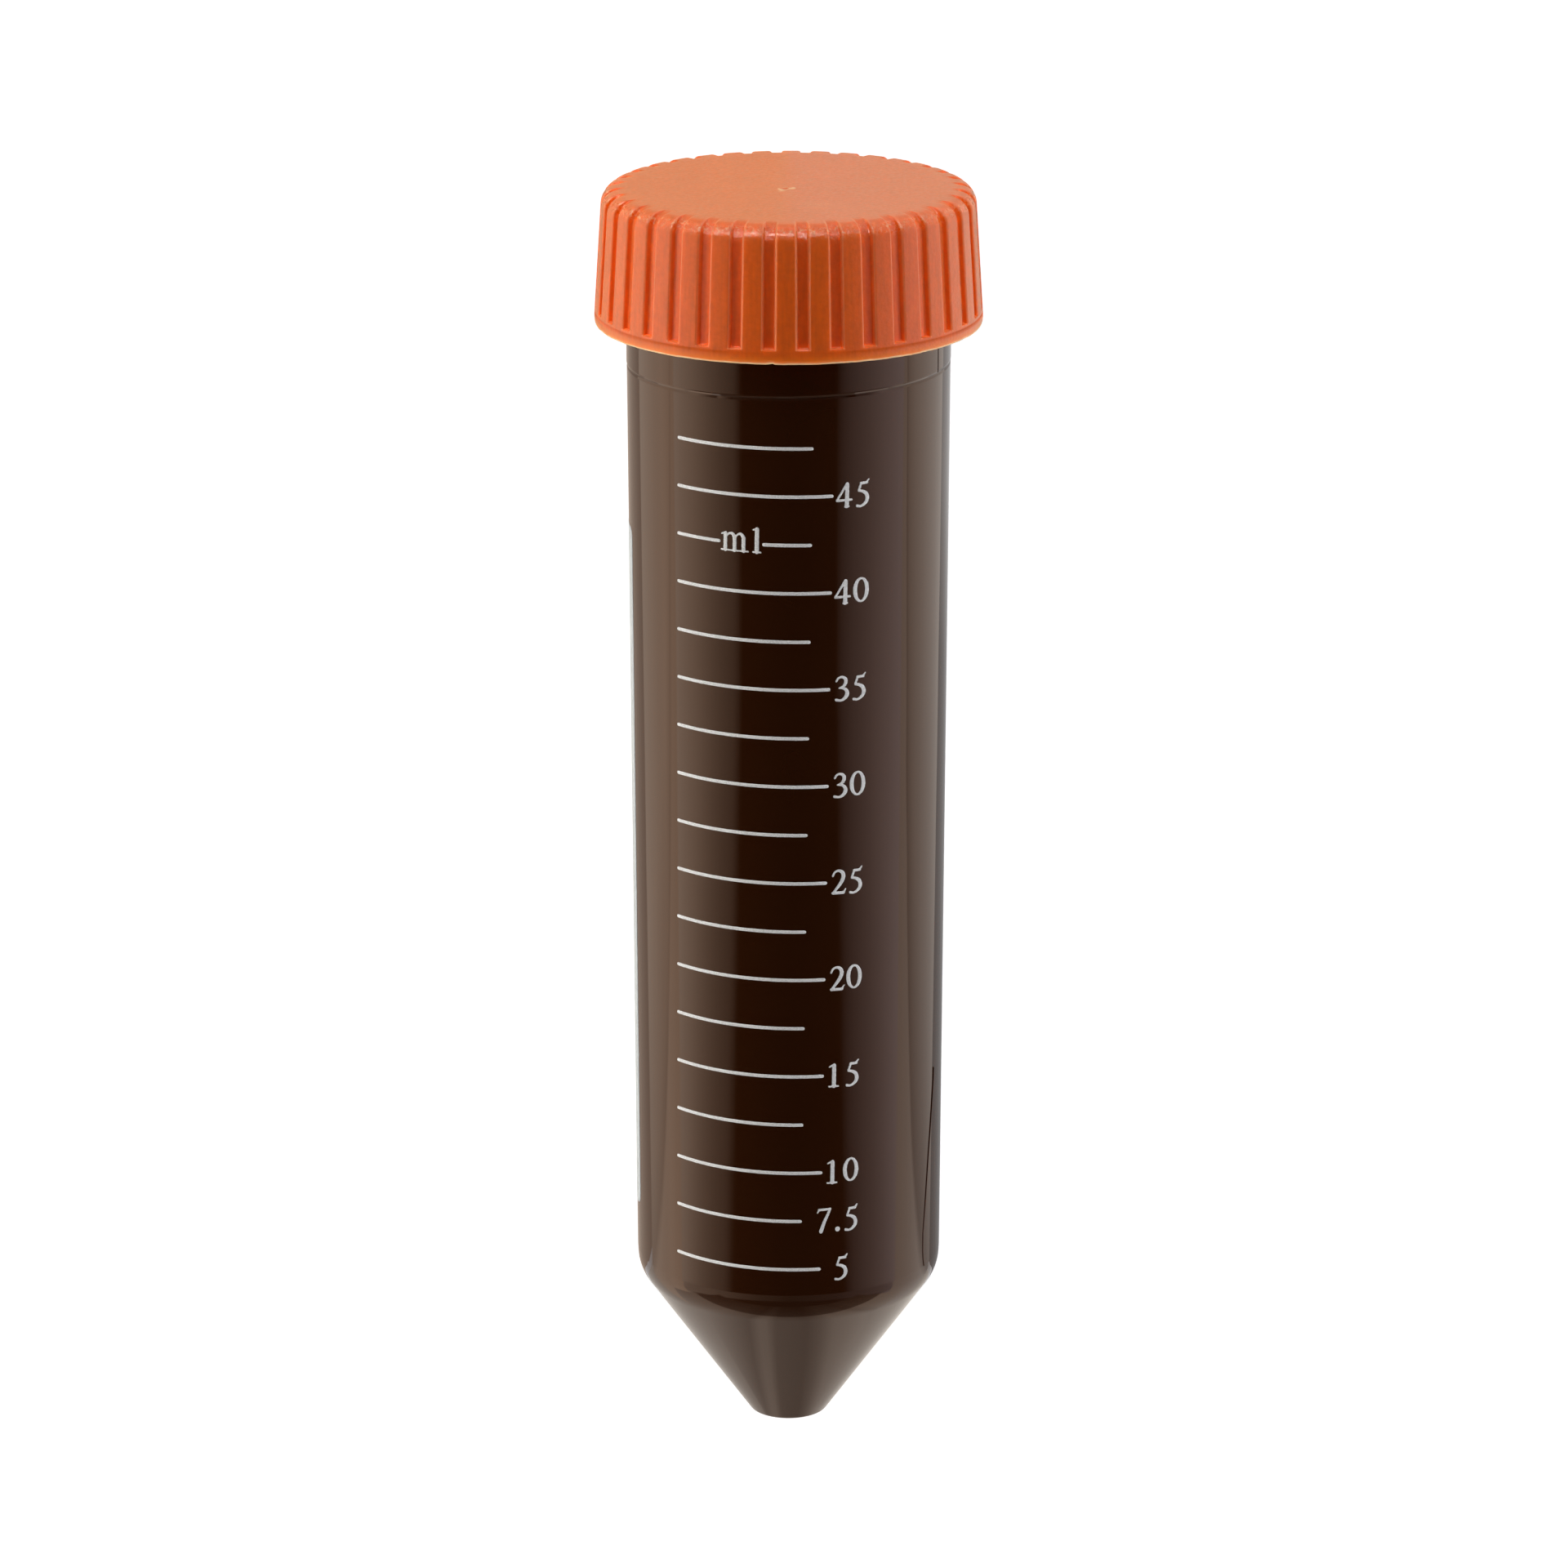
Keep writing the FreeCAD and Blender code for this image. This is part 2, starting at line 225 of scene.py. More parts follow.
@dataclass(frozen=True)
class Axes:
    """The tube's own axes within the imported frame.

    Attributes:
        tip: centre of the tip, in metres.
        axis: from the tip towards the cap.
        facing: from the axis towards the middle of the graduations.
    """

    tip: Vector
    axis: Vector
    facing: Vector

    @classmethod
    def from_record(cls, record: dict[str, Any], length: float) -> "Axes":
        """Reads the axes from the mount on the cap's top.

        Args:
            record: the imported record.
            length: from the tip to that mount, in millimetres.

        Returns:
            The axes.
        """
        mount = next(m for m in record["mounts"] if m["name"] == "cap_top")
        axis = Vector(mount["axis"]).normalized()
        facing = Vector((1, 0, 0)).cross(axis).normalized()
        return cls(Vector(mount["pos_m"]) - axis * length * MM, axis, facing)

    def matrix(self) -> Matrix:
        """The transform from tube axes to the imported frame, both in metres."""
        columns = Matrix((Vector((1, 0, 0)), -self.facing, self.axis)).transposed()
        return Matrix.Translation(self.tip) @ columns.to_4x4()

    def place(self, points: np.ndarray) -> np.ndarray:
        """Turns points in millimetres of the tube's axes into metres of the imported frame."""
        m = np.array(self.matrix())
        return points * MM @ m[:3, :3].T + m[:3, 3]


def put(name: str, data: bpy.types.ID) -> bpy.types.Object:
    """Puts a mesh, a light or a camera in the scene as an object.

    Args:
        name: the object's name.
        data: what it shows.

    Returns:
        The object.
    """
    made = bpy.data.objects.new(name, data)
    bpy.context.scene.collection.objects.link(made)
    return made


@dataclass
class Workshop:
    """Makes finished pieces out of points and faces.

    Attributes:
        axes: the tube's axes.
    """

    axes: Axes

    def piece(self, name: str, points: np.ndarray, faces: Iterable[Face],
              material: bpy.types.Material, body: Body, slot: Slot,
              **wear_and_painted_light: np.ndarray) -> bpy.types.Object:
        """Makes one closed, smooth-shaded piece.

        Args:
            name: the piece's name.
            points: points in millimetres of the tube's axes.
            faces: the faces.
            material: its finish.
            body: the CAD body that it rides on.
            slot: the record's slot that its finish belongs to; not used.
            wear_and_painted_light: attributes of each point, 0 to 1, that its finish reads.

        Returns:
            The piece.
        """
        mesh = bpy.data.meshes.new(name)
        mesh.from_pydata(self.axes.place(np.asarray(points, float)).tolist(), [], list(faces))
        work = bmesh.new()
        work.from_mesh(mesh)
        bmesh.ops.recalc_face_normals(work, faces=work.faces)
        work.to_mesh(mesh)
        open_edges = sum(1 for e in work.edges if not e.is_manifold)
        work.free()
        mesh.polygons.foreach_set("use_smooth", [True] * len(mesh.polygons))
        mesh.materials.append(material)
        for label, share in wear_and_painted_light.items():
            mesh.attributes.new(label, "FLOAT", "POINT").data.foreach_set("value", share.ravel())
        made = put(name, mesh)
        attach(made, body.value)
        LOG.info("%s: %d faces, %d open edges", name, len(mesh.polygons), open_edges)
        return made


# ---------------------------------------------------------------- finishes


def linear(code: str) -> tuple[float, float, float, float]:
    """Turns an sRGB colour into a linear one.

    Args:
        code: the colour in hex, such as "#ff8000".

    Returns:
        Linear red, green and blue, and full alpha.
    """
    parts = [int(code[k:k + 2], 16) / 255 for k in (1, 3, 5)]
    r, g, b = (c / 12.92 if c <= 0.04045 else ((c + 0.055) / 1.055) ** 2.4 for c in parts)
    return r, g, b, 1.0


def add_node(tree: bpy.types.NodeTree, kind: str, settings: dict[Any, Any] | None = None,
             links: dict[Any, bpy.types.NodeSocket] | None = None) -> bpy.types.Node:
    """Adds a node with its settings and links.

    Args:
        tree: the node tree.
        kind: the node's type.
        settings: lower-case names are the node's own settings, "stops" a ramp's colours, and
            anything else a socket's name or number.
        links: for each input socket, the output that feeds it.

    Returns:
        The node.
    """
    node = tree.nodes.new(kind)
    for key, value in (settings or {}).items():
        if key == "stops":
            ramp = node.color_ramp
            while len(ramp.elements) > 1:
                ramp.elements.remove(ramp.elements[-1])
            ramp.elements[0].position = value[0][0]
            for stop in value[1:]:
                ramp.elements.new(stop[0])
            for element, stop in zip(ramp.elements, value):
                element.color = stop[1]
        elif isinstance(key, str) and key[0].islower():
            setattr(node, key, value)
        else:
            node.inputs[key].default_value = value
    for key, source in (links or {}).items():
        tree.links.new(source, node.inputs[key])
    return node


def grey(level: float) -> tuple[float, float, float, float]:
    """An opaque grey of that linear level."""
    return level, level, level, 1.0


def denser(code: str, share: float) -> tuple[float, float, float, float]:
    """A colour with only that share of its light left, linear."""
    return tuple(c * share for c in linear(code)[:3]) + (1.0,)


def bare_tree(owner: bpy.types.Material | bpy.types.World) -> bpy.types.NodeTree:
    """Turns on the nodes of a material or world and clears away the ones that it starts with.

    Args:
        owner: the material or world.

    Returns:
        Its empty node tree.
    """
    owner.use_nodes = True
    owner.node_tree.nodes.clear()
    return owner.node_tree


@dataclass(frozen=True)
class MouldedPolypropylene:
    """Polypropylene injection-moulded against polished steel: dark, opaque and glossy.

    The gloss mirrors the studio as clean upright bands, and the steel's polishing marks, which
    run along the axis, break the bands a little.

    Attributes:
        colour: pigment, sRGB.
        haze: colour of the reflection seen square on, warm from the pigment under the gloss.
        ior: index of refraction.
        roughness: of the polished skin.
        draw_line: width of a polishing mark, mm; the real ones are finer, and drawn this coarse
            to show.
        draw_length: length of a polishing mark, mm.
        wave: width of the shallow waves that shrinkage leaves, mm.
        cloud: width of the clouds where the pigment is a little denser, mm.
    """

    colour: str = "#331808"
    haze: str = "#ffddc4"
    ior: float = 1.6
    roughness: float = 0.055
    draw_line: float = 0.9
    draw_length: float = 54.0
    wave: float = 9.0
    cloud: float = 14.0

    def material(self, axes: Axes) -> bpy.types.Material:
        """Builds the node material on the tube's axes.

        Args:
            axes: the tube's axes.

        Returns:
            The material.
        """
        made = bpy.data.materials.new("polypropylene moulded dark brown")
        tree = bare_tree(made)
        where = add_node(tree, "ShaderNodeTexCoord")
        along = add_node(tree, "ShaderNodeMapping", {
            "vector_type": "TEXTURE", "Location": axes.tip, "Rotation": axes.matrix().to_euler(),
            "Scale": (self.draw_line * MM, self.draw_line * MM, self.draw_length * MM)},
            {"Vector": where.outputs["Object"]})
        marks = add_node(tree, "ShaderNodeTexNoise", {"Scale": 1.0, "Detail": 3.0},
                         {"Vector": along.outputs[0]})
        waves = add_node(tree, "ShaderNodeTexNoise", {"Scale": 1 / (self.wave * MM), "Detail": 1.0},
                         {"Vector": where.outputs["Object"]})
        gloss = add_node(tree, "ShaderNodeMapRange", {
            "From Min": 0.3, "From Max": 0.7, "To Min": self.roughness * 0.8,
            "To Max": self.roughness * 1.25}, {"Value": marks.outputs["Fac"]})
        first = add_node(tree, "ShaderNodeBump", {"Strength": 0.12, "Distance": 0.02 * MM},
                         {"Height": marks.outputs["Fac"]})
        second = add_node(tree, "ShaderNodeBump", {"Strength": 0.3, "Distance": 0.05 * MM},
                          {"Height": waves.outputs["Fac"], "Normal": first.outputs[0]})
        tone = add_node(tree, "ShaderNodeTexNoise", {"Scale": 1 / (self.cloud * MM), "Detail": 4.0},
                        {"Vector": where.outputs["Object"]})
        pigment = add_node(tree, "ShaderNodeMix", {
            "data_type": "RGBA", 6: linear(self.colour), 7: denser(self.colour, 0.9)},
            {"Factor": tone.outputs["Fac"]})
        shader = add_node(tree, "ShaderNodeBsdfPrincipled", {
            "IOR": self.ior, "Specular Tint": linear(self.haze)},
            {"Base Color": pigment.outputs[2], "Roughness": gloss.outputs[0],
             "Normal": second.outputs[0]})
        add_node(tree, "ShaderNodeOutputMaterial", {}, {"Surface": shader.outputs[0]})
        return made


@dataclass(frozen=True)
class MouldedPolyethylene:
    """High-density polyethylene moulded in a spark-eroded mould: satin, waxy and slightly deep.

    Light enters the wax-like plastic and leaves it beside, so edges glow, and the eroded grain
    scatters the gloss into a soft sheen with small glints on the tight bend of the rim. The glow
    of light through the thin lower edge, highlights along the ribs' edges and more glints on the
    rim are painted into its colour.

    Attributes:
        colour: pigment, sRGB.
        bloom: colour of the wax that shows where the surface is seen edge on, sRGB.
        pale: colour of thin flash, torn plastic and scuffs, and of the highlights and glints
        painted on the ribs and rim, sRGB.
        thin: colour painted where the plastic thins out, as light shining through it, sRGB.
        ior: index of refraction.
        roughness: of the eroded skin.
        burnished: roughness of the grain's tops where hands rub them shiny.
        grain: width of a grain, mm; the real one is finer, and drawn this coarse to show.
        streak: length of the faint streaks that run up the ribs, mm.
        mottle: width of the patches where the pigment is a little denser, mm.
        flow: width of the clouds that the melt's flow leaves, mm.
        depth: how far light travels within, mm.
        spread: share of that depth for red, green and blue.
    """

    colour: str = "#ec5e02"
    bloom: str = "#fff0a8"
    pale: str = "#ffd3a0"
    thin: str = "#ff7c00"
    ior: float = 1.55
    roughness: float = 0.34
    burnished: float = 0.09
    grain: float = 0.3
    streak: float = 3.6
    mottle: float = 0.5
    flow: float = 7.0
    depth: float = 1.4
    spread: tuple[float, float, float] = (1.0, 0.6, 0.35)

    def material(self, axes: Axes) -> bpy.types.Material:
        """Builds the node material on the tube's axes.

        Args:
            axes: the tube's axes.

        Returns:
            The material.
        """
        made = bpy.data.materials.new("high-density polyethylene moulded orange")
        tree = bare_tree(made)
        where = add_node(tree, "ShaderNodeTexCoord")
        along = add_node(tree, "ShaderNodeMapping", {
            "vector_type": "TEXTURE", "Location": axes.tip, "Rotation": axes.matrix().to_euler(),
            "Scale": (self.grain * MM, self.grain * MM, self.streak * MM)},
            {"Vector": where.outputs["Object"]})
        grain = add_node(tree, "ShaderNodeTexNoise", {
            "Scale": 1 / (self.grain * MM), "Detail": 3.0, "Roughness": 0.6},
            {"Vector": where.outputs["Object"]})
        flow = add_node(tree, "ShaderNodeTexNoise", {"Scale": 1 / (self.flow * MM), "Detail": 4.0},
                        {"Vector": where.outputs["Object"]})
        mottle = add_node(tree, "ShaderNodeTexNoise", {
            "Scale": 1 / (self.mottle * MM), "Detail": 2.0}, {"Vector": where.outputs["Object"]})
        streak = add_node(tree, "ShaderNodeTexNoise", {"Scale": 1.0, "Detail": 1.0},
                          {"Vector": along.outputs[0]})
        gloss = add_node(tree, "ShaderNodeMapRange", {
            "From Min": 0.3, "From Max": 0.7, "To Min": self.roughness * 0.85,
            "To Max": self.roughness * 1.2}, {"Value": grain.outputs["Fac"]})
        # The tops of the grain are rubbed shiny on the rim's bend, which gives it small glints.
        rubbed = add_node(tree, "ShaderNodeAttribute", {"attribute_name": "rubbed"})
        facet = add_node(tree, "ShaderNodeMapRange", {
            "From Min": 0.46, "From Max": 0.53}, {"Value": mottle.outputs["Fac"]})
        burnish = add_node(tree, "ShaderNodeMath", {"operation": "MULTIPLY"},
                           {0: facet.outputs[0], 1: rubbed.outputs["Fac"]})
        polish = add_node(tree, "ShaderNodeMix", {"B": self.burnished},
                          {"Factor": burnish.outputs[0], "A": gloss.outputs[0]})
        bump = add_node(tree, "ShaderNodeBump", {"Strength": 0.6, "Distance": 0.05 * MM},
                        {"Height": grain.outputs["Fac"]})
        pitted = add_node(tree, "ShaderNodeBump", {"Distance": 0.1 * MM}, {
            "Height": mottle.outputs["Fac"], "Strength": rubbed.outputs["Fac"],
            "Normal": bump.outputs[0]})
        # The pigment is a little uneven: in clouds, in patches and in streaks up the ribs.
        pigment = add_node(tree, "ShaderNodeMix", {
            "data_type": "RGBA", 6: linear(self.colour), 7: denser(self.colour, 0.93)},
            {"Factor": flow.outputs["Fac"]})
        both = add_node(tree, "ShaderNodeMath", {"operation": "ADD"},
                        {0: mottle.outputs["Fac"], 1: streak.outputs["Fac"]})
        density = add_node(tree, "ShaderNodeMapRange", {
            "From Min": 0.6, "From Max": 1.4, "To Min": 0.91, "To Max": 1.09},
            {"Value": both.outputs[0]})
        dense = add_node(tree, "ShaderNodeMix", {
            "data_type": "RGBA", "blend_type": "MULTIPLY", "Factor": 1.0},
            {6: pigment.outputs[2], 7: density.outputs[0]})
        # A glow of light through the thin lower edge is painted into the colour; scuffs whiten only
        # the tops of the grain, and pale specks painted on the rim's bend stand for glints.
        wear_and_painted_light = add_node(tree, "ShaderNodeAttribute", {"attribute_name": "pale"})
        glow = add_node(tree, "ShaderNodeAttribute", {"attribute_name": "glow"})
        painted_glow = add_node(tree, "ShaderNodeMix", {"data_type": "RGBA", 7: linear(self.thin)},
                       {"Factor": glow.outputs["Fac"], 6: dense.outputs[2]})
        scuffed = add_node(tree, "ShaderNodeAttribute", {"attribute_name": "scuffed"})
        speck = add_node(tree, "ShaderNodeMapRange", {
            "From Min": 0.54, "From Max": 0.64}, {"Value": grain.outputs["Fac"]})
        white = add_node(tree, "ShaderNodeMath", {"operation": "MULTIPLY_ADD"}, {
            0: speck.outputs[0], 1: scuffed.outputs["Fac"], 2: wear_and_painted_light.outputs["Fac"]})
        skin = add_node(tree, "ShaderNodeMix", {"data_type": "RGBA", 7: linear(self.pale)},
                        {"Factor": white.outputs[0], 6: painted_glow.outputs[2]})
        shader = add_node(tree, "ShaderNodeBsdfPrincipled", {
            "IOR": self.ior, "subsurface_method": "BURLEY", "Subsurface Weight": 0.8,
            "Subsurface Scale": self.depth * MM, "Subsurface Radius": self.spread,
            "Sheen Weight": 0.3, "Sheen Roughness": 0.5, "Sheen Tint": linear(self.bloom)},
            {"Base Color": skin.outputs[2], "Roughness": polish.outputs[0],
             "Normal": pitted.outputs[0]})
        add_node(tree, "ShaderNodeOutputMaterial", {}, {"Surface": shader.outputs[0]})
        return made


@dataclass(frozen=True)
class ScreenInk:
    """Epoxy ink screen-printed through a mesh: chalky, with fine pits where the mesh was.

    Attributes:
        name: the material's name.
        colour: of the ink over the plastic, sRGB.
        thin: of the ink where a mesh thread left less of it, sRGB.
        ior: index of refraction.
        roughness: of the dried film.
        pit: distance between pits, mm; the mesh is finer, and drawn this coarse to show.
    """

    name: str
    colour: str
    thin: str
    ior: float = 1.52
    roughness: float = 0.5
    pit: float = 0.09

    def material(self, axes: Axes) -> bpy.types.Material:
        """Builds the node material on the tube's axes.

        Args:
            axes: the tube's axes.

        Returns:
            The material.
        """
        made = bpy.data.materials.new(self.name)
        tree = bare_tree(made)
        where = add_node(tree, "ShaderNodeTexCoord")
        pits = add_node(tree, "ShaderNodeTexNoise", {
            "Scale": 1 / (self.pit * MM), "Detail": 2.0}, {"Vector": where.outputs["Object"]})
        cover = add_node(tree, "ShaderNodeMapRange", {"From Min": 0.35, "From Max": 0.6},
                         {"Value": pits.outputs["Fac"]})
        film_colour = add_node(tree, "ShaderNodeMix", {
            "data_type": "RGBA", 6: linear(self.thin), 7: linear(self.colour)},
            {"Factor": cover.outputs[0]})
        bump = add_node(tree, "ShaderNodeBump", {"Strength": 0.4, "Distance": 0.01 * MM},
                        {"Height": pits.outputs["Fac"]})
        shader = add_node(tree, "ShaderNodeBsdfPrincipled", {
            "IOR": self.ior, "Roughness": self.roughness},
            {"Base Color": film_colour.outputs[2], "Normal": bump.outputs[0]})
        add_node(tree, "ShaderNodeOutputMaterial", {}, {"Surface": shader.outputs[0]})
        return made


# ---------------------------------------------------------------- thread


@dataclass(frozen=True)
class Thread:
    """A screw thread, swept on a helix and run out to nothing at both ends.

    Attributes:
        wall: radius that the thread stands on, mm.
        crest: radius of its crest, mm; smaller than wall for a thread inside a cap.
        low: height of its middle where it starts, mm.
        high: height of its middle where it ends, mm.
        pitch: rise of one turn, mm.
        start: angle where it starts, degrees.
        root_width: its width at the wall, mm.
        crest_width: its width at the crest, mm.
        run_out: angle over which each end fades, degrees.
        sunk: how deep its root lies in the wall, mm.
    """

    wall: float
    crest: float
    low: float
    high: float
    pitch: float = 3.6
    start: float = 20.0
    root_width: float = 1.5
    crest_width: float = 0.6
    run_out: float = 24.0
    sunk: float = 0.12

    def skin(self) -> Skin:
        """Sweeps the thread's section up its helix.

        Returns:
            The points and the faces.
        """
        sign = math.copysign(1, self.crest - self.wall)
        tall = abs(self.crest - self.wall)
        half_root, half_crest = self.root_width / 2, self.crest_width / 2
        section = rounded([
            (-half_root, -self.sunk, 0), (-half_root, 0, 0.1), (-half_crest, tall, 0.2),
            (half_crest, tall, 0.2), (half_root, 0, 0.1), (half_root, -self.sunk, 0)], 4, 0.05)
        total = (self.high - self.low) / self.pitch * 360
        count = int(total / 2)
        rings = []
        for k in range(count + 1):
            t = total * k / count
            fade = min(1.0, t / self.run_out, (total - t) / self.run_out)
            fade = fade * fade * (3 - 2 * fade)
            angle = np.full(len(section), math.radians(self.start + t))
            height = self.low + self.pitch * t / 360 + section[:, 0] * (0.25 + 0.75 * fade)
            rise = np.where(section[:, 1] > 0, section[:, 1] * fade - 0.05 * (1 - fade),
                            section[:, 1])
            rings.append(on_ring(self.wall + sign * rise, angle, height))
        rings_array = np.array(rings)
        return closed_skin(rings_array, rings_array[0].mean(0), rings_array[-1].mean(0))


# ---------------------------------------------------------------- tube


@dataclass
class Tube:
    """The tube: cone, tapered barrel, band, neck with its thread, and the bore.

    Attributes:
        shop: makes the pieces.
        finish: its plastic.
        rim: height of the mouth.
        neck_foot: height where the neck starts.
        split: height of the mould's split line.
        shoulder: height where the cone meets the barrel.
        tip_radius: outer radius of the flat tip.
        barrel_radius: outer radius at the split line.
        taper: loss of radius per height down the barrel.
        band_radius: outer radius of the band.
        neck_radius: outer radius of the neck, at the thread's root.
        wall: thickness of the barrel.
        cone_wall: thickness of the cone.
        tip_floor: thickness of the tip.
        mouth_radius: radius of the bore at the mouth.
        bore_foot: height where the bore's cone starts.
        tip_fillet: radius of the tip's edge.
        shoulder_fillet: radius where the cone meets the barrel.
        bore_fillet: radius where the bore's cone starts.
        floor_fillet: radius round the floor of the bore.
        mouth_fillet: radius of the mouth's edges.
        lead: how far the foot of the barrel is drawn in where it leads into the cone.
        lead_rise: height of that lead-in.
        groove: depth of the groove at the split line.
        split_lean: rise of the split line across the tube, where the mould's halves met askew.
        columns: faces round the tube.
        longest: longest face along the tube.
    """

    shop: Workshop
    finish: MouldedPolypropylene
    rim: float = 115.14
    neck_foot: float = 105.60
    split: float = 101.10
    shoulder: float = 14.66
    tip_radius: float = 3.5
    barrel_radius: float = 14.52
    taper: float = 0.0056
    band_radius: float = 14.55
    neck_radius: float = 14.35
    wall: float = 1.05
    cone_wall: float = 1.3
    tip_floor: float = 1.6
    mouth_radius: float = 13.549
    bore_foot: float = 15.43
    tip_fillet: float = 0.6
    shoulder_fillet: float = 4.0
    bore_fillet: float = 3.0
    floor_fillet: float = 1.4
    mouth_fillet: float = 0.25
    lead: float = 0.078
    lead_rise: float = 1.85
    groove: float = 0.08
    split_lean: float = 0.014
    columns: int = 288
    longest: float = 6.0

    def radius_at(self, height: float | np.ndarray) -> float | np.ndarray:
        """Outer radius of the barrel at a height."""
        return self.barrel_radius - self.taper * (self.split - height)

    def profile(self) -> np.ndarray:
        """The whole wall in section, from the tip outside to the floor inside.

        Returns:
            An (n, 2) array of radius and height.
        """
        foot = float(self.radius_at(self.shoulder))
        slope = (foot - self.tip_radius) / self.shoulder
        tilt = math.sqrt(1 + slope * slope)
        inner_foot = foot - self.wall
        inner_tip = self.tip_radius + slope * self.tip_floor - self.cone_wall * tilt
        lead_top = self.shoulder + self.lead_rise
        outer = rounded([
            (0, 0, 0), (self.tip_radius, 0, self.tip_fillet),
            (foot - self.lead, self.shoulder + 0.1, self.shoulder_fillet),
            (float(self.radius_at(lead_top)), lead_top, 3.0),
            # The split line: a fine groove with a proud edge above it, then the band.
            (self.barrel_radius, self.split - 0.3, 0.05),
            (self.barrel_radius - self.groove, self.split - 0.13, 0.02),
            (self.barrel_radius - self.groove, self.split - 0.09, 0.02),
            (self.barrel_radius + 0.008, self.split + 0.07, 0.04),
            (self.band_radius, self.split + 0.16, 0.05),
            (self.band_radius, self.neck_foot, 0.1),
            (self.neck_radius, self.neck_foot, 0.1),
            (self.neck_radius, self.rim, self.mouth_fillet),
            (self.mouth_radius, self.rim, self.mouth_fillet),
            (inner_foot, self.bore_foot, self.bore_fillet),
            (inner_tip, self.tip_floor, self.floor_fillet), (0, self.tip_floor, 0)], 8, 0.15)
        dense: list[np.ndarray] = []
        for a, b in zip(outer, outer[1:]):
            runs = max(1, int(np.linalg.norm(b - a) / self.longest))
            dense += [a + (b - a) * k / runs for k in range(runs)]
        return np.array(dense + [outer[-1]])

    def moulding(self, material: bpy.types.Material) -> bpy.types.Object:
        """Builds the tube's moulding, which stands for the CAD tube.

        Args:
            material: its finish.

        Returns:
            The piece.
        """
        line = self.profile()
        angle = np.arange(self.columns) * TURN / self.columns
        rings = np.array([on_ring(r, angle, z) for r, z in line[1:-1]])
        near = np.clip(1 - (np.abs(rings[:, :, 2] - self.split) - 0.5) / 3, 0, 1)
        rings[:, :, 2] += near * self.split_lean * rings[:, :, 0]
        points, faces = closed_skin(rings, np.array([0, 0, line[0][1]]),
                                    np.array([0, 0, line[-1][1]]))
        made = self.shop.piece("tube_moulding", points, faces, material, Body.TUBE, Slot.TUBE)
        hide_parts("tube_body")
        return made

    def thread(self, material: bpy.types.Material) -> bpy.types.Object:
        """Builds the thread on the neck."""
        helix = Thread(self.neck_radius, self.neck_radius + 0.9, 107.0, 113.6)
        return self.shop.piece("neck_thread", *helix.skin(), material, Body.TUBE, Slot.TUBE)

    def bead(self, name: str, path: Sequence[tuple[float, float, float]], tall: float,
             material: bpy.types.Material) -> bpy.types.Object:
        """Builds a fine raised line on the outside of the tube.

        Args:
            name: the piece's name.
            path: (angle in degrees, height, width) along the line.
            tall: how far it stands out.
            material: its finish.

        Returns:
            The piece.
        """
        rows = np.array(path, float)
        t = np.linspace(0, len(rows) - 1, 12 * (len(rows) - 1) + 1)
        angle, height, width = (np.interp(t, np.arange(len(rows)), rows[:, k]) for k in range(3))
        across = np.linspace(-1, 1, 9)
        rings = []
        for a, h, w in zip(angle, height, width):
            base = self.band_radius if h > self.split else float(self.radius_at(h))
            top = base - 0.01 + tall * (1 - across ** 2) ** 1.5
            theta = math.radians(a) + across * w / 2 / base
            under = theta[-2:0:-1]
            upper = on_ring(top, theta, np.full(len(theta), h))
            lower = on_ring(np.full(len(under), base - 0.03), under, np.full(len(under), h))
            rings.append(np.vstack([upper, lower]))
        block = np.array(rings)
        points, faces = closed_skin(block, block[0].mean(0), block[-1].mean(0))
        return self.shop.piece(name, points, faces, material, Body.TUBE, Slot.TUBE)

    def build(self) -> None:
        """Builds and dresses the tube."""
        material = self.finish.material(self.shop.axes)
        self.moulding(material)
        self.thread(material)
        seam = 65.8
        self.bead("parting_seam", [
            (seam, self.split + 0.2, 0.14), (seam, self.neck_foot - 0.1, 0.14)], 0.06, material)
        self.bead("side_crease", [
            (69.9, 35.5, 0.03), (69.7, 34.4, 0.08), (67.3, 30.0, 0.12), (65.6, 27.2, 0.16),
            (63.5, 22.9, 0.22), (61.9, 19.8, 0.3), (62.0, 18.0, 0.36), (62.5, 17.2, 0.4),
            (62.8, 16.7, 0.3), (62.9, 16.5, 0.1)], 0.09, material)
        self.bead("side_line", [(71.6, 31.0, 0.05), (73.4, 24.6, 0.26), (75.6, 17.2, 0.3),
                                (75.8, 16.4, 0.08)], 0.02, material)


# ---------------------------------------------------------------- cap


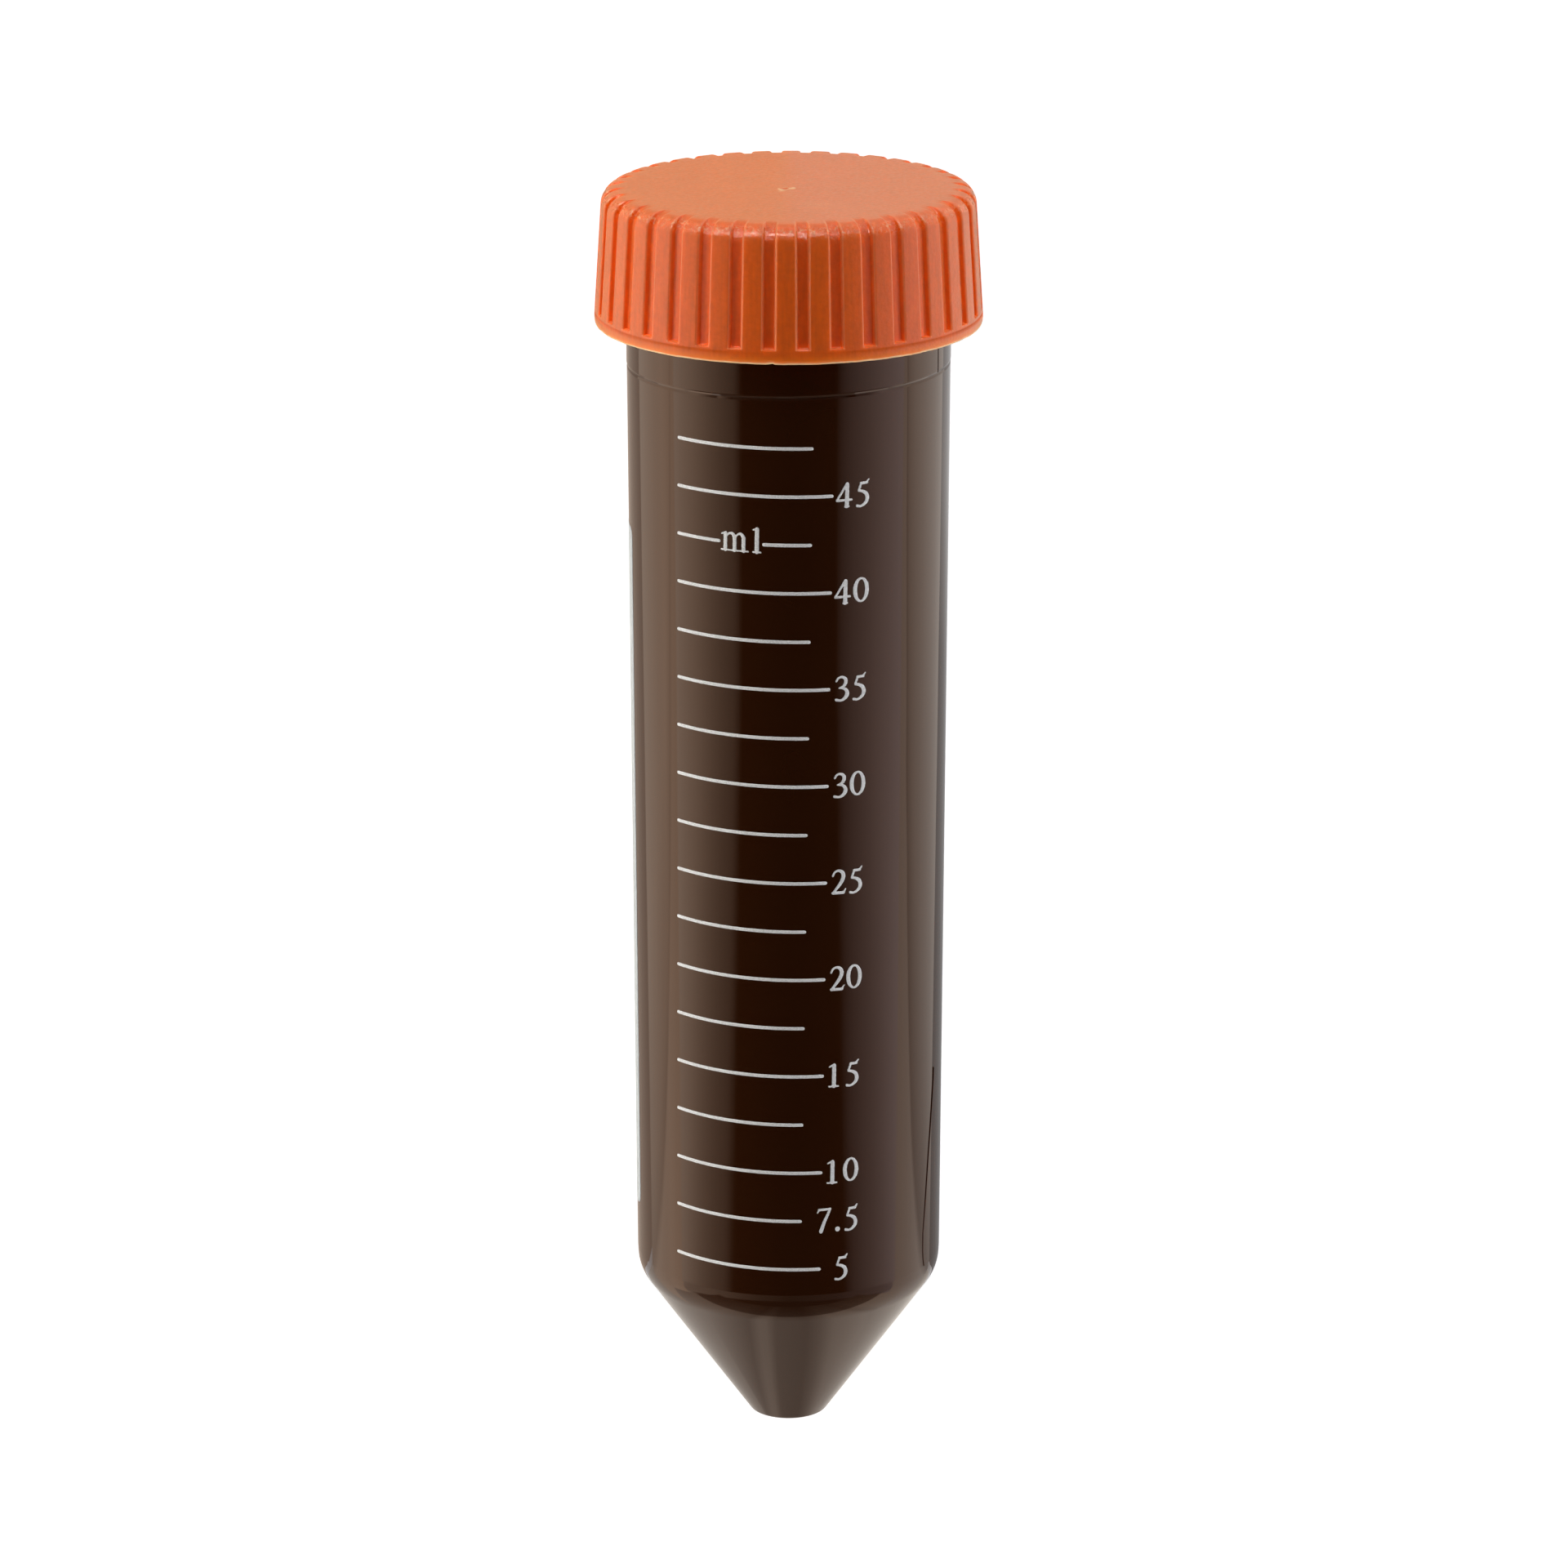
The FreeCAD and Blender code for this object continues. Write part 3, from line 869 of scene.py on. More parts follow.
@dataclass
class Cap:
    """The screw cap: grooved skirt, flat top, thread and seal ring.

    Attributes:
        shop: makes the pieces.
        finish: its plastic.
        low: height of the lower edge.
        top: height of the flat top.
        low_radius: outer radius at the lower edge.
        taper: loss of radius per height up the side.
        bend: radius of the rim's bend.
        grooves: how many grooves.
        groove_width: width of a groove.
        groove_depth: depth of a groove.
        groove_start: plain height below the grooves.
        groove_bend: radius of a groove floor's bend onto the top.
        first_groove: angle of the first groove from the facing side, degrees.
        bore: inner radius of the skirt.
        ceiling: height of the inside of the top.
        ring_outer: outer radius of the seal ring.
        ring_inner: inner radius of the seal ring.
        ring_end: height of the seal ring's end.
        tear: width of the torn strands of the gate mark.
        tear_squeeze: how much narrower than long the strands are.
        flash: (inwards, up) from the lower edge round the thin flash that hangs from it.
        scuff: (across, away from the facing side, half width, half depth) of the scuff on the top.
        burnish: (tilt, spread) of the rim's bend that hands rub shiny, degrees from the side.
        rim_glints: the same for the pale specks painted on it as glints.
        glow_height: how far up from the lower edge the light shining through is painted.
        rim_steps: faces round the rim's bend.
        rib_points: points across a rib between its two rounded edges.
    """

    shop: Workshop
    finish: MouldedPolyethylene
    low: float = 104.80
    top: float = 116.84
    low_radius: float = 17.43
    taper: float = 0.064
    bend: float = 1.5
    grooves: int = 36
    groove_width: float = 1.05
    groove_depth: float = 0.45
    groove_start: float = 1.2
    groove_bend: float = 1.9
    first_groove: float = 4.15
    bore: float = 15.55
    ceiling: float = 115.24
    ring_outer: float = 13.449
    ring_inner: float = 12.549
    ring_end: float = 112.84
    tear: float = 0.07
    tear_squeeze: float = 0.21
    flash: Levels = ((0.1, 0.06), (0.09, 0.02), (0.11, -0.09), (0.24, -0.14))
    scuff: tuple[float, float, float, float] = (2.8, -7.6, 1.9, 1.3)
    burnish: tuple[float, float] = (36.0, 15.0)
    rim_glints: tuple[float, float] = (40.0, 20.0)
    glow_height: float = 0.7
    rim_steps: int = 9
    rib_points: int = 2

    def side(self, height: float) -> float:
        """Outer radius of the skirt at a height."""
        return self.low_radius - self.taper * (height - self.low)

    def bent(self, inset: float, radius: float) -> np.ndarray:
        """Radius and height round a rim bend, from the side to the flat top.

        Args:
            inset: how far the side is moved inwards.
            radius: of the bend.

        Returns:
            An (n, 2) array.
        """
        lean = math.atan(self.taper)
        centre_z = self.top - radius
        centre_r = self.side(centre_z) - inset - radius / math.cos(lean)
        phi = np.linspace(lean, math.pi / 2, self.rim_steps + 1)
        return np.stack([centre_r + radius * np.cos(phi), centre_z + radius * np.sin(phi)], -1)

    def section(self) -> tuple[np.ndarray, np.ndarray]:
        """A groove's cross-section, from rib to rib.

        Returns:
            Distance from the groove's middle and share of its depth, of each point.
        """
        floor, lip = self.groove_width / 2 - 0.05, self.groove_width / 2 + 0.04
        half = rounded([(0, -self.groove_depth, 0), (floor, -self.groove_depth, 0.1),
                        (lip, 0, 0.2), (lip + 0.2, 0, 0)], 3, 0.04)
        share = half[:, 1] / -self.groove_depth
        return (np.concatenate([-half[:0:-1, 0], half[:, 0]]),
                np.concatenate([share[:0:-1], share]))

    def outside(self) -> np.ndarray:
        """Rings of the grooved outside, from the flat top down to the lower edge.

        Returns:
            An (n, m, 3) array, n rings of m points.
        """
        crest = self.bent(0, self.bend)
        floor = self.bent(self.groove_depth, self.groove_bend)
        sunk = np.array([self.groove_depth, 0])
        start = self.low + self.groove_start
        full = start + 0.4
        end = rounded([(start - 0.3, 0, 0), (start, 0, 0.12), (start + 0.05, 1, 0.12),
                       (full, 1, 0)], 3, 0.04)
        # Each row: the place on a rib, the place on a groove's floor, and the groove's share.
        rows = [(c, f, 1.0) for c, f in zip(crest[::-1], floor[::-1])]
        foot = np.array([self.side(full), full])
        for s in np.linspace(1, 0, 4)[1:]:
            rows.append((foot + (crest[0] - foot) * s, foot - sunk + (floor[0] - foot + sunk) * s,
                         1.0))
        for z, share in end[::-1][1:]:
            rib = np.array([self.side(z), z])
            rows.append((rib, rib - sunk, share))
        for up, inset in ((0.9, 0.0), (0.6, 0.0), (0.35, 0.015), (0.14, 0.05)):
            z = self.low + up
            rib = np.array([self.side(z) - inset, z])
            rows.append((rib, rib, 0.0))
        offsets, shares = self.section()
        middles = math.radians(self.first_groove) + np.arange(self.grooves) * TURN / self.grooves
        rings = []
        for rib, dip, amount in rows:
            shift = np.append(shares * amount, np.zeros(self.rib_points))
            radius, height = (rib[k] + (dip[k] - rib[k]) * shift for k in (0, 1))
            reach = np.arcsin(offsets / rib[0])
            free = TURN / self.grooves - reach[-1] + reach[0]
            across = np.arange(1, self.rib_points + 1) / (self.rib_points + 1)
            angle = middles[:, None] + np.append(reach, reach[-1] + free * across)
            rings.append(on_ring(np.tile(radius, self.grooves), angle.ravel(),
                                 np.tile(height, self.grooves)))
        return np.array(rings)

    def wear_and_painted_light(self) -> np.ndarray:
        """How strongly highlights are painted along the ribs' edges.

        Returns:
            The share of the pale colour at each point round a ring of the outside.
        """
        offsets, shares = self.section()
        edge = 0.16 * np.exp(-((shares - 0.12) / 0.16) ** 2) * (shares < 0.9)
        edge[np.abs(offsets) > self.groove_width / 2 + 0.15] = 0
        return np.tile(np.append(edge, np.zeros(self.rib_points)), self.grooves)

    def gate(self, x: np.ndarray, y: np.ndarray) -> tuple[np.ndarray, np.ndarray]:
        """The torn gate mark near the middle of the flat top.

        Args:
            x: place across, mm.
            y: place away from the facing side, mm.

        Returns:
            Height above the top and how pale the torn plastic is.
        """
        def along(path: Sequence[tuple[float, float, float]]) -> np.ndarray:
            """Distance to a path of (x, y, half width), in widths of a torn strand."""
            away = stroke_field([Stroke(tuple(path))], 0.0)(x, (y + 1.2) * self.tear_squeeze)
            return np.clip(1 + away / self.tear, 0, None)

        burr = along(((-0.9, 0.0, 0.05), (-0.63, -0.09, 0.06), (-0.3, -0.09, 0.02),
                      (0.03, 0.02, 0.03), (0.39, 0.06, 0.07), (0.55, 0.07, 0.05)))
        shred = along(((-0.55, 0.11, 0.0), (-0.15, 0.17, 0.02), (0.05, 0.08, 0.01)))
        slit = along(((-0.5, 0.03, 0.0), (-0.25, 0.05, 0.03), (-0.03, 0.09, 0.0)))
        raised = np.exp(-burr ** 2) + 0.5 * np.exp(-shred ** 2)
        sunk = np.exp(-slit ** 2)
        return 0.05 * raised - 0.14 * sunk, np.clip(1.2 * raised - 1.5 * sunk, 0, 1)

    def flat_top(self, angle: np.ndarray, rim: float) -> np.ndarray:
        """Rings of the flat top with its gate mark, from near its middle outwards.

        Args:
            angle: angle of each point round a ring.
            rim: radius of the outermost ring.

        Returns:
            An (n, m, 3) array, n rings of m points.
        """
        round_gate, further = np.arange(0.06, 2.0, 0.11), np.arange(6.0, 9.7, 0.9)
        rings = np.array([on_ring(np.full(len(angle), r), angle, np.full(len(angle), self.top))
                          for r in (*round_gate, 2.6, 4.5, *further, 13.0, rim)])
        rings[:, :, 2] += self.gate(rings[:, :, 0], rings[:, :, 1])[0]
        return rings

    def uneven(self, angle: np.ndarray) -> tuple[np.ndarray, np.ndarray]:
        """How uneven the flash on the lower edge is.

        Args:
            angle: angle of each point round the edge.

        Returns:
            Its slow waves, about -1 to 1, and a nick near the facing side, 0 to 1.
        """
        wave = ripple(angle * 9, angle * 0, 0.4) * 0.5 + ripple(angle * 31, angle * 0, 1.1) * 0.35
        return wave, np.exp(-((np.degrees(angle) + 5.0) / 0.7) ** 2)

    def lower_edge(self, angle: np.ndarray) -> np.ndarray:
        """Rings of the lower edge and the flash that hangs from it.

        Args:
            angle: angle of each point round a ring.

        Returns:
            An (n, m, 3) array, n rings of m points.
        """
        wave, nick = self.uneven(angle)
        edge = self.low + (0.03 + 0.03 * wave) + 0.12 * nick
        hung = [(inset, edge + up) for inset, up in self.flash]
        hung.append((0.32, np.full(len(angle), self.low)))
        return np.array([on_ring(np.full(len(angle), self.low_radius - inset), angle, height)
                         for inset, height in hung])

    def inside(self, angle: np.ndarray) -> np.ndarray:
        """Rings of the inside, from the lower edge over the seal ring to its middle.

        Args:
            angle: angle of each point round a ring.

        Returns:
            An (n, m, 3) array, n rings of m points.
        """
        line = rounded([
            (self.low_radius - 0.42, self.low + 0.05, 0), (self.bore, self.low + 0.1, 0.3),
            (self.bore, self.ceiling, 0.9), (self.ring_outer, self.ceiling, 0.3),
            (self.ring_outer, self.ring_end, 0.35), (self.ring_inner, self.ring_end, 0.35),
            (self.ring_inner, self.ceiling, 0.3), (0.5, self.ceiling, 0)], 2, 0.15)
        return np.array([on_ring(np.full(len(angle), r), angle, np.full(len(angle), z))
                         for r, z in line])

    def wear(self, rings: np.ndarray, top: int, outer: int, angle: np.ndarray
             ) -> dict[str, np.ndarray]:
        """Where the plastic is torn, rubbed or marked by scuffs, and where light is painted on it.

        Args:
            rings: all the cap's rings.
            top: how many of them are the flat top's.
            outer: how many after those are the grooved outside's.
            angle: angle of each point round a ring.

        Returns:
            The attributes that the plastic reads.
        """
        pale, rubbed, glow, scuffed = (np.zeros(rings.shape[:2]) for _ in range(4))
        x, y, z = np.moveaxis(rings, -1, 0)
        pale[:top] = self.gate(x[:top], y[:top])[1]
        across, away, half_width, half_depth = self.scuff
        scuffed[:top] = 0.4 * np.exp(-((x[:top] - across) / half_width) ** 2
                                     - ((y[:top] - away) / half_depth) ** 2)
        bend = slice(top, top + self.rim_steps + 1)
        tilt = np.linspace(90, 0, self.rim_steps + 1)[:, None]
        middle, spread = self.burnish
        rubbed[bend] = np.exp(-((tilt - middle) / spread) ** 2)
        # Pale specks painted on the bend stand for glints, strongest a little to the left of the
        # facing side.
        middle, spread = self.rim_glints
        scuffed[bend] = ((0.3 + 0.2 * np.cos(angle + 0.4))
                         * np.exp(-((tilt - middle) / spread) ** 2))
        lower = top + outer
        grooved = z[top:lower].min(1) > self.low + self.groove_start - 0.1
        # Highlights painted along the ribs' edges.
        pale[top:lower][grooved] = self.wear_and_painted_light()
        wave, nick = self.uneven(angle)
        pale[lower] = np.clip(1.6 * nick, 0, 1)
        pale[lower + 1:lower + len(self.flash)] = (
            np.clip(0.8 + 0.3 * wave, 0.3, 1) + 0.3 * nick)
        # The glow of light shining through the thin lower edge is painted into the colour near it.
        outward = np.hypot(x, y) > self.low_radius - 0.33
        above = z[outward] - self.low - 0.1
        glow[outward] = np.clip(1 - above / self.glow_height, 0, 1) ** 1.5
        poles = (0.0, 0.0)
        return {name: np.append(share.ravel(), poles) for name, share in (
            ("pale", pale), ("rubbed", rubbed), ("glow", glow), ("scuffed", scuffed))}

    def moulding(self, material: bpy.types.Material) -> bpy.types.Object:
        """Builds the cap's moulding, which stands for the CAD cap.

        Args:
            material: its finish.

        Returns:
            The piece.
        """
        outer = self.outside()
        angle = np.arctan2(outer[-1, :, 0], -outer[-1, :, 1])
        rim = float(np.hypot(outer[0, :, 0], outer[0, :, 1]).min()) - 0.35
        top = self.flat_top(angle, rim)
        rings = np.concatenate([top, outer, self.lower_edge(angle), self.inside(angle)])
        points, faces = closed_skin(rings, np.array([0, 0, self.top - 0.1]),
                                    np.array([0, 0, self.ceiling]))
        made = self.shop.piece("cap_moulding", points, faces, material, Body.CAP, Slot.CAP,
                               **self.wear(rings, len(top), len(outer), angle))
        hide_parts("screw_cap")
        return made

    def build(self) -> None:
        """Builds and dresses the cap."""
        material = self.finish.material(self.shop.axes)
        self.moulding(material)
        helix = Thread(self.bore, self.bore - 0.9, 106.6, 113.4, start=200.0)
        self.shop.piece("cap_thread", *helix.skin(), material, Body.CAP, Slot.CAP)


# ---------------------------------------------------------------- print


@dataclass(frozen=True)
class Stroke:
    """One stroke of a printed character.

    Attributes:
        points: (across, up, half width) along the stroke, mm.
        bent: whether it curves smoothly through them.
    """

    points: tuple[tuple[float, float, float], ...]
    bent: bool = True

    def sampled(self) -> np.ndarray:
        """The stroke as short straight runs.

        Returns:
            An (n, 3) array of places and half widths.
        """
        p = np.array(self.points)
        if not self.bent or len(p) < 3:
            return p
        closed = np.allclose(p[0], p[-1])
        before = p[-2] if closed else 2 * p[0] - p[1]
        after = p[1] if closed else 2 * p[-1] - p[-2]
        q = np.vstack([before, p, after])
        out = []
        for a, b, c, d in zip(q, q[1:], q[2:], q[3:]):
            for t in np.arange(6) / 6:
                out.append(0.5 * (2 * b + (c - a) * t + (2 * a - 5 * b + 4 * c - d) * t ** 2
                                  + (3 * b - a - 3 * c + d) * t ** 3))
        return np.array(out + [p[-1]])


def bar(x0: float, y0: float, x1: float, y1: float, half: float, half_end: float | None = None
        ) -> Stroke:
    """A straight stroke between two points, of one half width or tapering to another."""
    return Stroke(((x0, y0, half), (x1, y1, half if half_end is None else half_end)), False)


GLYPHS: dict[str, tuple[float, tuple[Stroke, ...]]] = {
    "0": (1.55, (Stroke(tuple(
        (0.775 + 0.585 * math.sin(a), 1.2 + 1.05 * math.cos(a), 0.09 + 0.1 * abs(math.sin(a)) ** 1.6)
        for a in (k * TURN / 16 for k in range(17)))),)),
    "1": (1.0, (bar(0.53, 0.12, 0.53, 2.08, 0.185), bar(0.1, 1.98, 0.56, 2.2, 0.075, 0.09),
                bar(0.06, 0.08, 0.95, 0.08, 0.075), bar(0.42, 0.16, 0.64, 0.16, 0.12))),
    "2": (1.4, (Stroke(((0.1, 1.74, 0.085), (0.27, 2.08, 0.09), (0.62, 2.22, 0.11),
                        (0.98, 2.05, 0.16), (1.1, 1.66, 0.18), (0.96, 1.22, 0.17),
                        (0.66, 0.78, 0.14), (0.36, 0.4, 0.11), (0.14, 0.14, 0.09))),
                bar(0.12, 0.13, 1.16, 0.13, 0.125), bar(1.14, 0.14, 1.33, 0.46, 0.11, 0.05))),
    "3": (1.34, (Stroke(((0.13, 1.86, 0.085), (0.32, 2.14, 0.09), (0.66, 2.22, 0.11),
                         (0.97, 2.02, 0.15), (1.0, 1.7, 0.16), (0.8, 1.36, 0.12),
                         (0.4, 1.2, 0.07))),
                 Stroke(((0.46, 1.22, 0.07), (0.86, 1.14, 0.12), (1.13, 0.86, 0.17),
                         (1.12, 0.5, 0.18), (0.88, 0.2, 0.14), (0.55, 0.07, 0.1),
                         (0.28, 0.1, 0.11), (0.12, 0.14, 0.12))))),
    "4": (1.56, (bar(0.1, 0.7, 1.02, 2.2, 0.09, 0.11), bar(0.1, 0.68, 1.46, 0.7, 0.11, 0.1),
                 bar(1.02, 0.14, 1.04, 2.12, 0.19, 0.17), bar(0.86, 0.1, 1.2, 0.1, 0.09))),
    "5": (1.28, (bar(0.47, 2.1, 1.02, 2.13, 0.12, 0.12), bar(1.0, 2.14, 1.22, 2.42, 0.11, 0.055),
                 bar(0.47, 2.1, 0.25, 1.46, 0.1, 0.1),
                 Stroke(((0.25, 1.45, 0.1), (0.62, 1.36, 0.13), (0.95, 1.15, 0.17),
                         (1.1, 0.8, 0.18), (1.04, 0.45, 0.16), (0.78, 0.16, 0.12),
                         (0.44, 0.02, 0.1), (0.12, 0.07, 0.12))))),
    "7": (1.38, (bar(0.2, 2.2, 1.24, 2.24, 0.105, 0.11), bar(0.2, 2.2, 0.06, 1.92, 0.09, 0.05),
                 Stroke(((1.26, 2.26, 0.1), (0.98, 1.6, 0.13), (0.68, 0.9, 0.15),
                         (0.42, 0.1, 0.18))))),
    ".": (0.5, (bar(0.25, 0.22, 0.26, 0.22, 0.23),)),
    "m": (2.6, (bar(0.42, 0.1, 0.42, 1.55, 0.17), bar(1.28, 0.1, 1.28, 1.3, 0.17),
                bar(2.1, 0.1, 2.1, 1.3, 0.17), bar(0.08, 1.52, 0.46, 1.66, 0.07, 0.09),
                Stroke(((0.45, 1.28, 0.08), (0.76, 1.58, 0.09), (1.08, 1.6, 0.13),
                        (1.28, 1.3, 0.17))),
                Stroke(((1.31, 1.28, 0.08), (1.6, 1.58, 0.09), (1.9, 1.6, 0.13),
                        (2.1, 1.3, 0.17))),
                bar(0.05, 0.07, 0.8, 0.07, 0.07), bar(0.94, 0.07, 1.62, 0.07, 0.07),
                bar(1.78, 0.07, 2.52, 0.07, 0.07))),
    "l": (0.8, (bar(0.4, 0.1, 0.4, 2.16, 0.185), bar(0.08, 2.1, 0.42, 2.24, 0.07, 0.09),
                bar(0.06, 0.07, 0.74, 0.07, 0.07))),
}


def stroke_field(strokes: Iterable[Stroke], rough: float) -> Field:
    """Signed distance to a set of strokes, with the uneven edge that wet ink leaves.

    Args:
        strokes: the strokes.
        rough: how far the edge wanders, mm.

    Returns:
        The field.
    """
    runs = [(a, b) for s in strokes for a, b in zip(s.sampled(), s.sampled()[1:])]

    def field(x: np.ndarray, y: np.ndarray) -> np.ndarray:
        """Distance at each place.

        Args:
            x: place across, mm.
            y: place up, mm.

        Returns:
            The distance to the nearest stroke's edge, negative inside it.
        """
        best = np.full(np.shape(x), 1e9)
        for a, b in runs:
            d = b[:2] - a[:2]
            long = max(float(d @ d), 1e-12)
            t = np.clip(((x - a[0]) * d[0] + (y - a[1]) * d[1]) / long, 0, 1)
            away = np.hypot(x - a[0] - t * d[0], y - a[1] - t * d[1])
            best = np.minimum(best, away - a[2] - t * (b[2] - a[2]))
        return best + rough * ripple(x / 0.12, y / 0.12)

    return field


@dataclass
class Print:
    """The screen-printed volume marks and the blank writing panel.

    Attributes:
        shop: makes the pieces.
        tube: the tube that carries them.
        ink: the marks' ink.
        panel_ink: the writing panel's ink.
        heights: height of each line at the facing side, from 47.5 ml down to 5 ml.
        line_width: width of a line.
        thick: thickness of the ink.
        left: angle of the lines' left ends at mid height, degrees.
        lean: how far the print turns with height, degrees per mm.
        skew: fall of a line towards the right at the print's middle, mm per radian.
        bow: how fast that fall eases towards both ends of the print, per mm per radian.
        unit_line: which line the unit breaks.
        panel_ends: heights of the writing panel's lower and upper edge.
        panel_sides: angles of its edges, degrees.
        panel_corner: radius of its corners.
    """

    shop: Workshop
    tube: Tube
    ink: ScreenInk
    panel_ink: ScreenInk
    heights: tuple[float, ...] = (96.46, 92.08, 87.67, 83.24, 78.78, 74.32, 69.83, 65.31, 60.78,
                                  56.23, 51.66, 47.07, 42.46, 37.83, 33.18, 28.51, 23.83, 19.11)
    line_width: float = 0.3
    thick: float = 0.025
    left: float = -44.45
    lean: float = 0.0511
    skew: float = -0.262
    bow: float = 4.8e-5
    unit_line: int = 2
    panel_ends: tuple[float, float] = (21.3, 86.2)
    panel_sides: tuple[float, float] = (-76.9, -233.0)
    panel_corner: float = 1.0

    def wrap(self, s: np.ndarray, h: np.ndarray, line: float) -> tuple[np.ndarray, np.ndarray]:
        """Angle and height on the barrel of a place in the print.

        Args:
            s: distance to the right of the lines' left ends.
            h: distance above the line.
            line: height of that line at the facing side.

        Returns:
            The angle in radians and the height.
        """
        radius = float(self.tube.radius_at(62.0))
        slope = self.skew + self.bow * (line - 48) ** 2
        angle = np.radians(self.left + self.lean * (line + h - 60)) + s / radius
        return angle, line + h + slope * angle

    def layer(self, flats: Iterable[Film]) -> Skin:
        """Raises flat tiles, given as (angle, height), into closed layers of ink.

        Args:
            flats: for each layer, its points, tiles and rim edges.

        Returns:
            The points and the faces.
        """
        points: list[np.ndarray] = []
        faces: list[Face] = []
        base = 0
        for flat, tiles, rim in flats:
            n = len(flat)
            wall = self.tube.radius_at(flat[:, 1])
            points += [on_ring(wall + self.thick, flat[:, 0], flat[:, 1]),
                       on_ring(wall - 0.015, flat[:, 0], flat[:, 1])]
            faces += [tuple(base + k for k in t) for t in tiles]
            faces += [tuple(base + n + k for k in t[::-1]) for t in tiles]
            faces += [(base + b, base + a, base + n + a, base + n + b) for a, b in rim]
            base += 2 * n
        return np.vstack(points), faces

    def mark(self, strokes: Iterable[Stroke], box: tuple[float, float, float, float],
             cell: tuple[float, float], at: tuple[float, float], line: float, rough: float
             ) -> Film:
        """Tiles one mark and wraps it on the barrel.

        Args:
            strokes: its strokes.
            box: the box that they fit in.
            cell: size of a tile.
            at: its corner's place to the right of and above the line's left end.
            line: height of that line.
            rough: how far its edge wanders.

        Returns:
            Points as (angle, height), tiles and rim edges.
        """
        flat, tiles, rim = film(stroke_field(strokes, rough), box, cell)
        angle, height = self.wrap(flat[:, 0] + at[0], flat[:, 1] + at[1], line)
        return np.stack([angle, height], -1), tiles, rim

    def lines(self, material: bpy.types.Material) -> bpy.types.Object:
        """Builds the graduation lines; the one at 42.5 ml is broken by the unit.

        Args:
            material: their ink.

        Returns:
            The piece.
        """
        half = self.line_width / 2
        made = []
        for k, line in enumerate(self.heights):
            length = (LineLength.LONG if k % 2 else LineLength.SHORT).value
            parts = [(0.0, 4.6), (8.42, length)] if k == self.unit_line else [(0.0, length)]
            for start, end in parts:
                stroke = bar(start + half, 0, end - half, 0, half)
                made.append(self.mark([stroke], (start - 0.1, -0.24, end + 0.1, 0.24), (0.12, 0.06),
                                      (0, 0), line, 0.008))
        return self.shop.piece("graduation_lines", *self.layer(made), material, Body.TUBE, Slot.INK)

    def numbers(self, material: bpy.types.Material) -> bpy.types.Object:
        """Builds the numbers beside the long lines, 7.5 beside its short one, and the unit.

        Args:
            material: their ink.

        Returns:
            The piece.
        """
        made = []

        def word(text: str, places: Sequence[float], foot: float, line: float) -> None:
            """Sets characters beside or in a line.

            Args:
                text: the characters.
                places: each one's distance from the line's left end.
                foot: their foot's height above the line.
                line: height of the line.
            """
            for character, place in zip(text, places):
                width, strokes = GLYPHS[character]
                made.append(self.mark(strokes, (-0.1, -0.15, width + 0.1, 2.6), (0.055, 0.055),
                                      (place, foot), line, 0.014))

        # A 4 starts a little nearer to its line, and a 5 stands a little further from the first
        # figure.
        for k, text in enumerate(("45", "40", "35", "30", "25", "20", "15", "10")):
            first = 14.84 if text[0] == "4" else 15.05
            second = 16.72 if text[1] == "5" else 16.6
            word(text, (first, second), -1.13, self.heights[1 + 2 * k])
        word("7.5", (14.17, 15.92, 16.86), -1.15, self.heights[16])
        word("5", (15.94,), -1.17, self.heights[17])
        word("ml", (4.64, 7.54), -0.8, self.heights[self.unit_line])
        return self.shop.piece("graduation_numbers", *self.layer(made), material, Body.TUBE,
                               Slot.INK)

    def panel(self, material: bpy.types.Material) -> bpy.types.Object:
        """Builds the blank writing panel round the back.

        Args:
            material: its ink.

        Returns:
            The piece.
        """
        low, high = self.panel_ends
        near, far = (math.radians(side) for side in self.panel_sides)
        middle = (low + high) / 2
        radius = float(self.tube.radius_at(middle))
        half_w, half_h, corner = (near - far) * radius / 2, (high - low) / 2, self.panel_corner

        def field(x: np.ndarray, y: np.ndarray) -> np.ndarray:
            """Distance to a rectangle with round corners.

            Args:
                x: place across from its middle, mm.
                y: place up from its middle, mm.

            Returns:
                The distance to its edge, negative inside it.
            """
            qx, qy = np.abs(x) - half_w + corner, np.abs(y) - half_h + corner
            outside = np.hypot(np.maximum(qx, 0), np.maximum(qy, 0))
            return outside + np.minimum(np.maximum(qx, qy), 0) - corner + 0.01 * ripple(x, y)

        flat, tiles, rim = film(field, (-half_w - 0.4, -half_h - 0.4, half_w + 0.5, half_h + 0.5),
                                (0.5, 0.5))
        flat = np.stack([(near + far) / 2 + flat[:, 0] / radius, middle + flat[:, 1]], -1)
        return self.shop.piece("writing_panel", *self.layer([(flat, tiles, rim)]), material,
                               Body.TUBE, Slot.INK)

    def build(self) -> None:
        """Builds and dresses the print."""
        white = self.ink.material(self.shop.axes)
        self.lines(white)
        self.numbers(white)
        self.panel(self.panel_ink.material(self.shop.axes))


# ---------------------------------------------------------------- studio


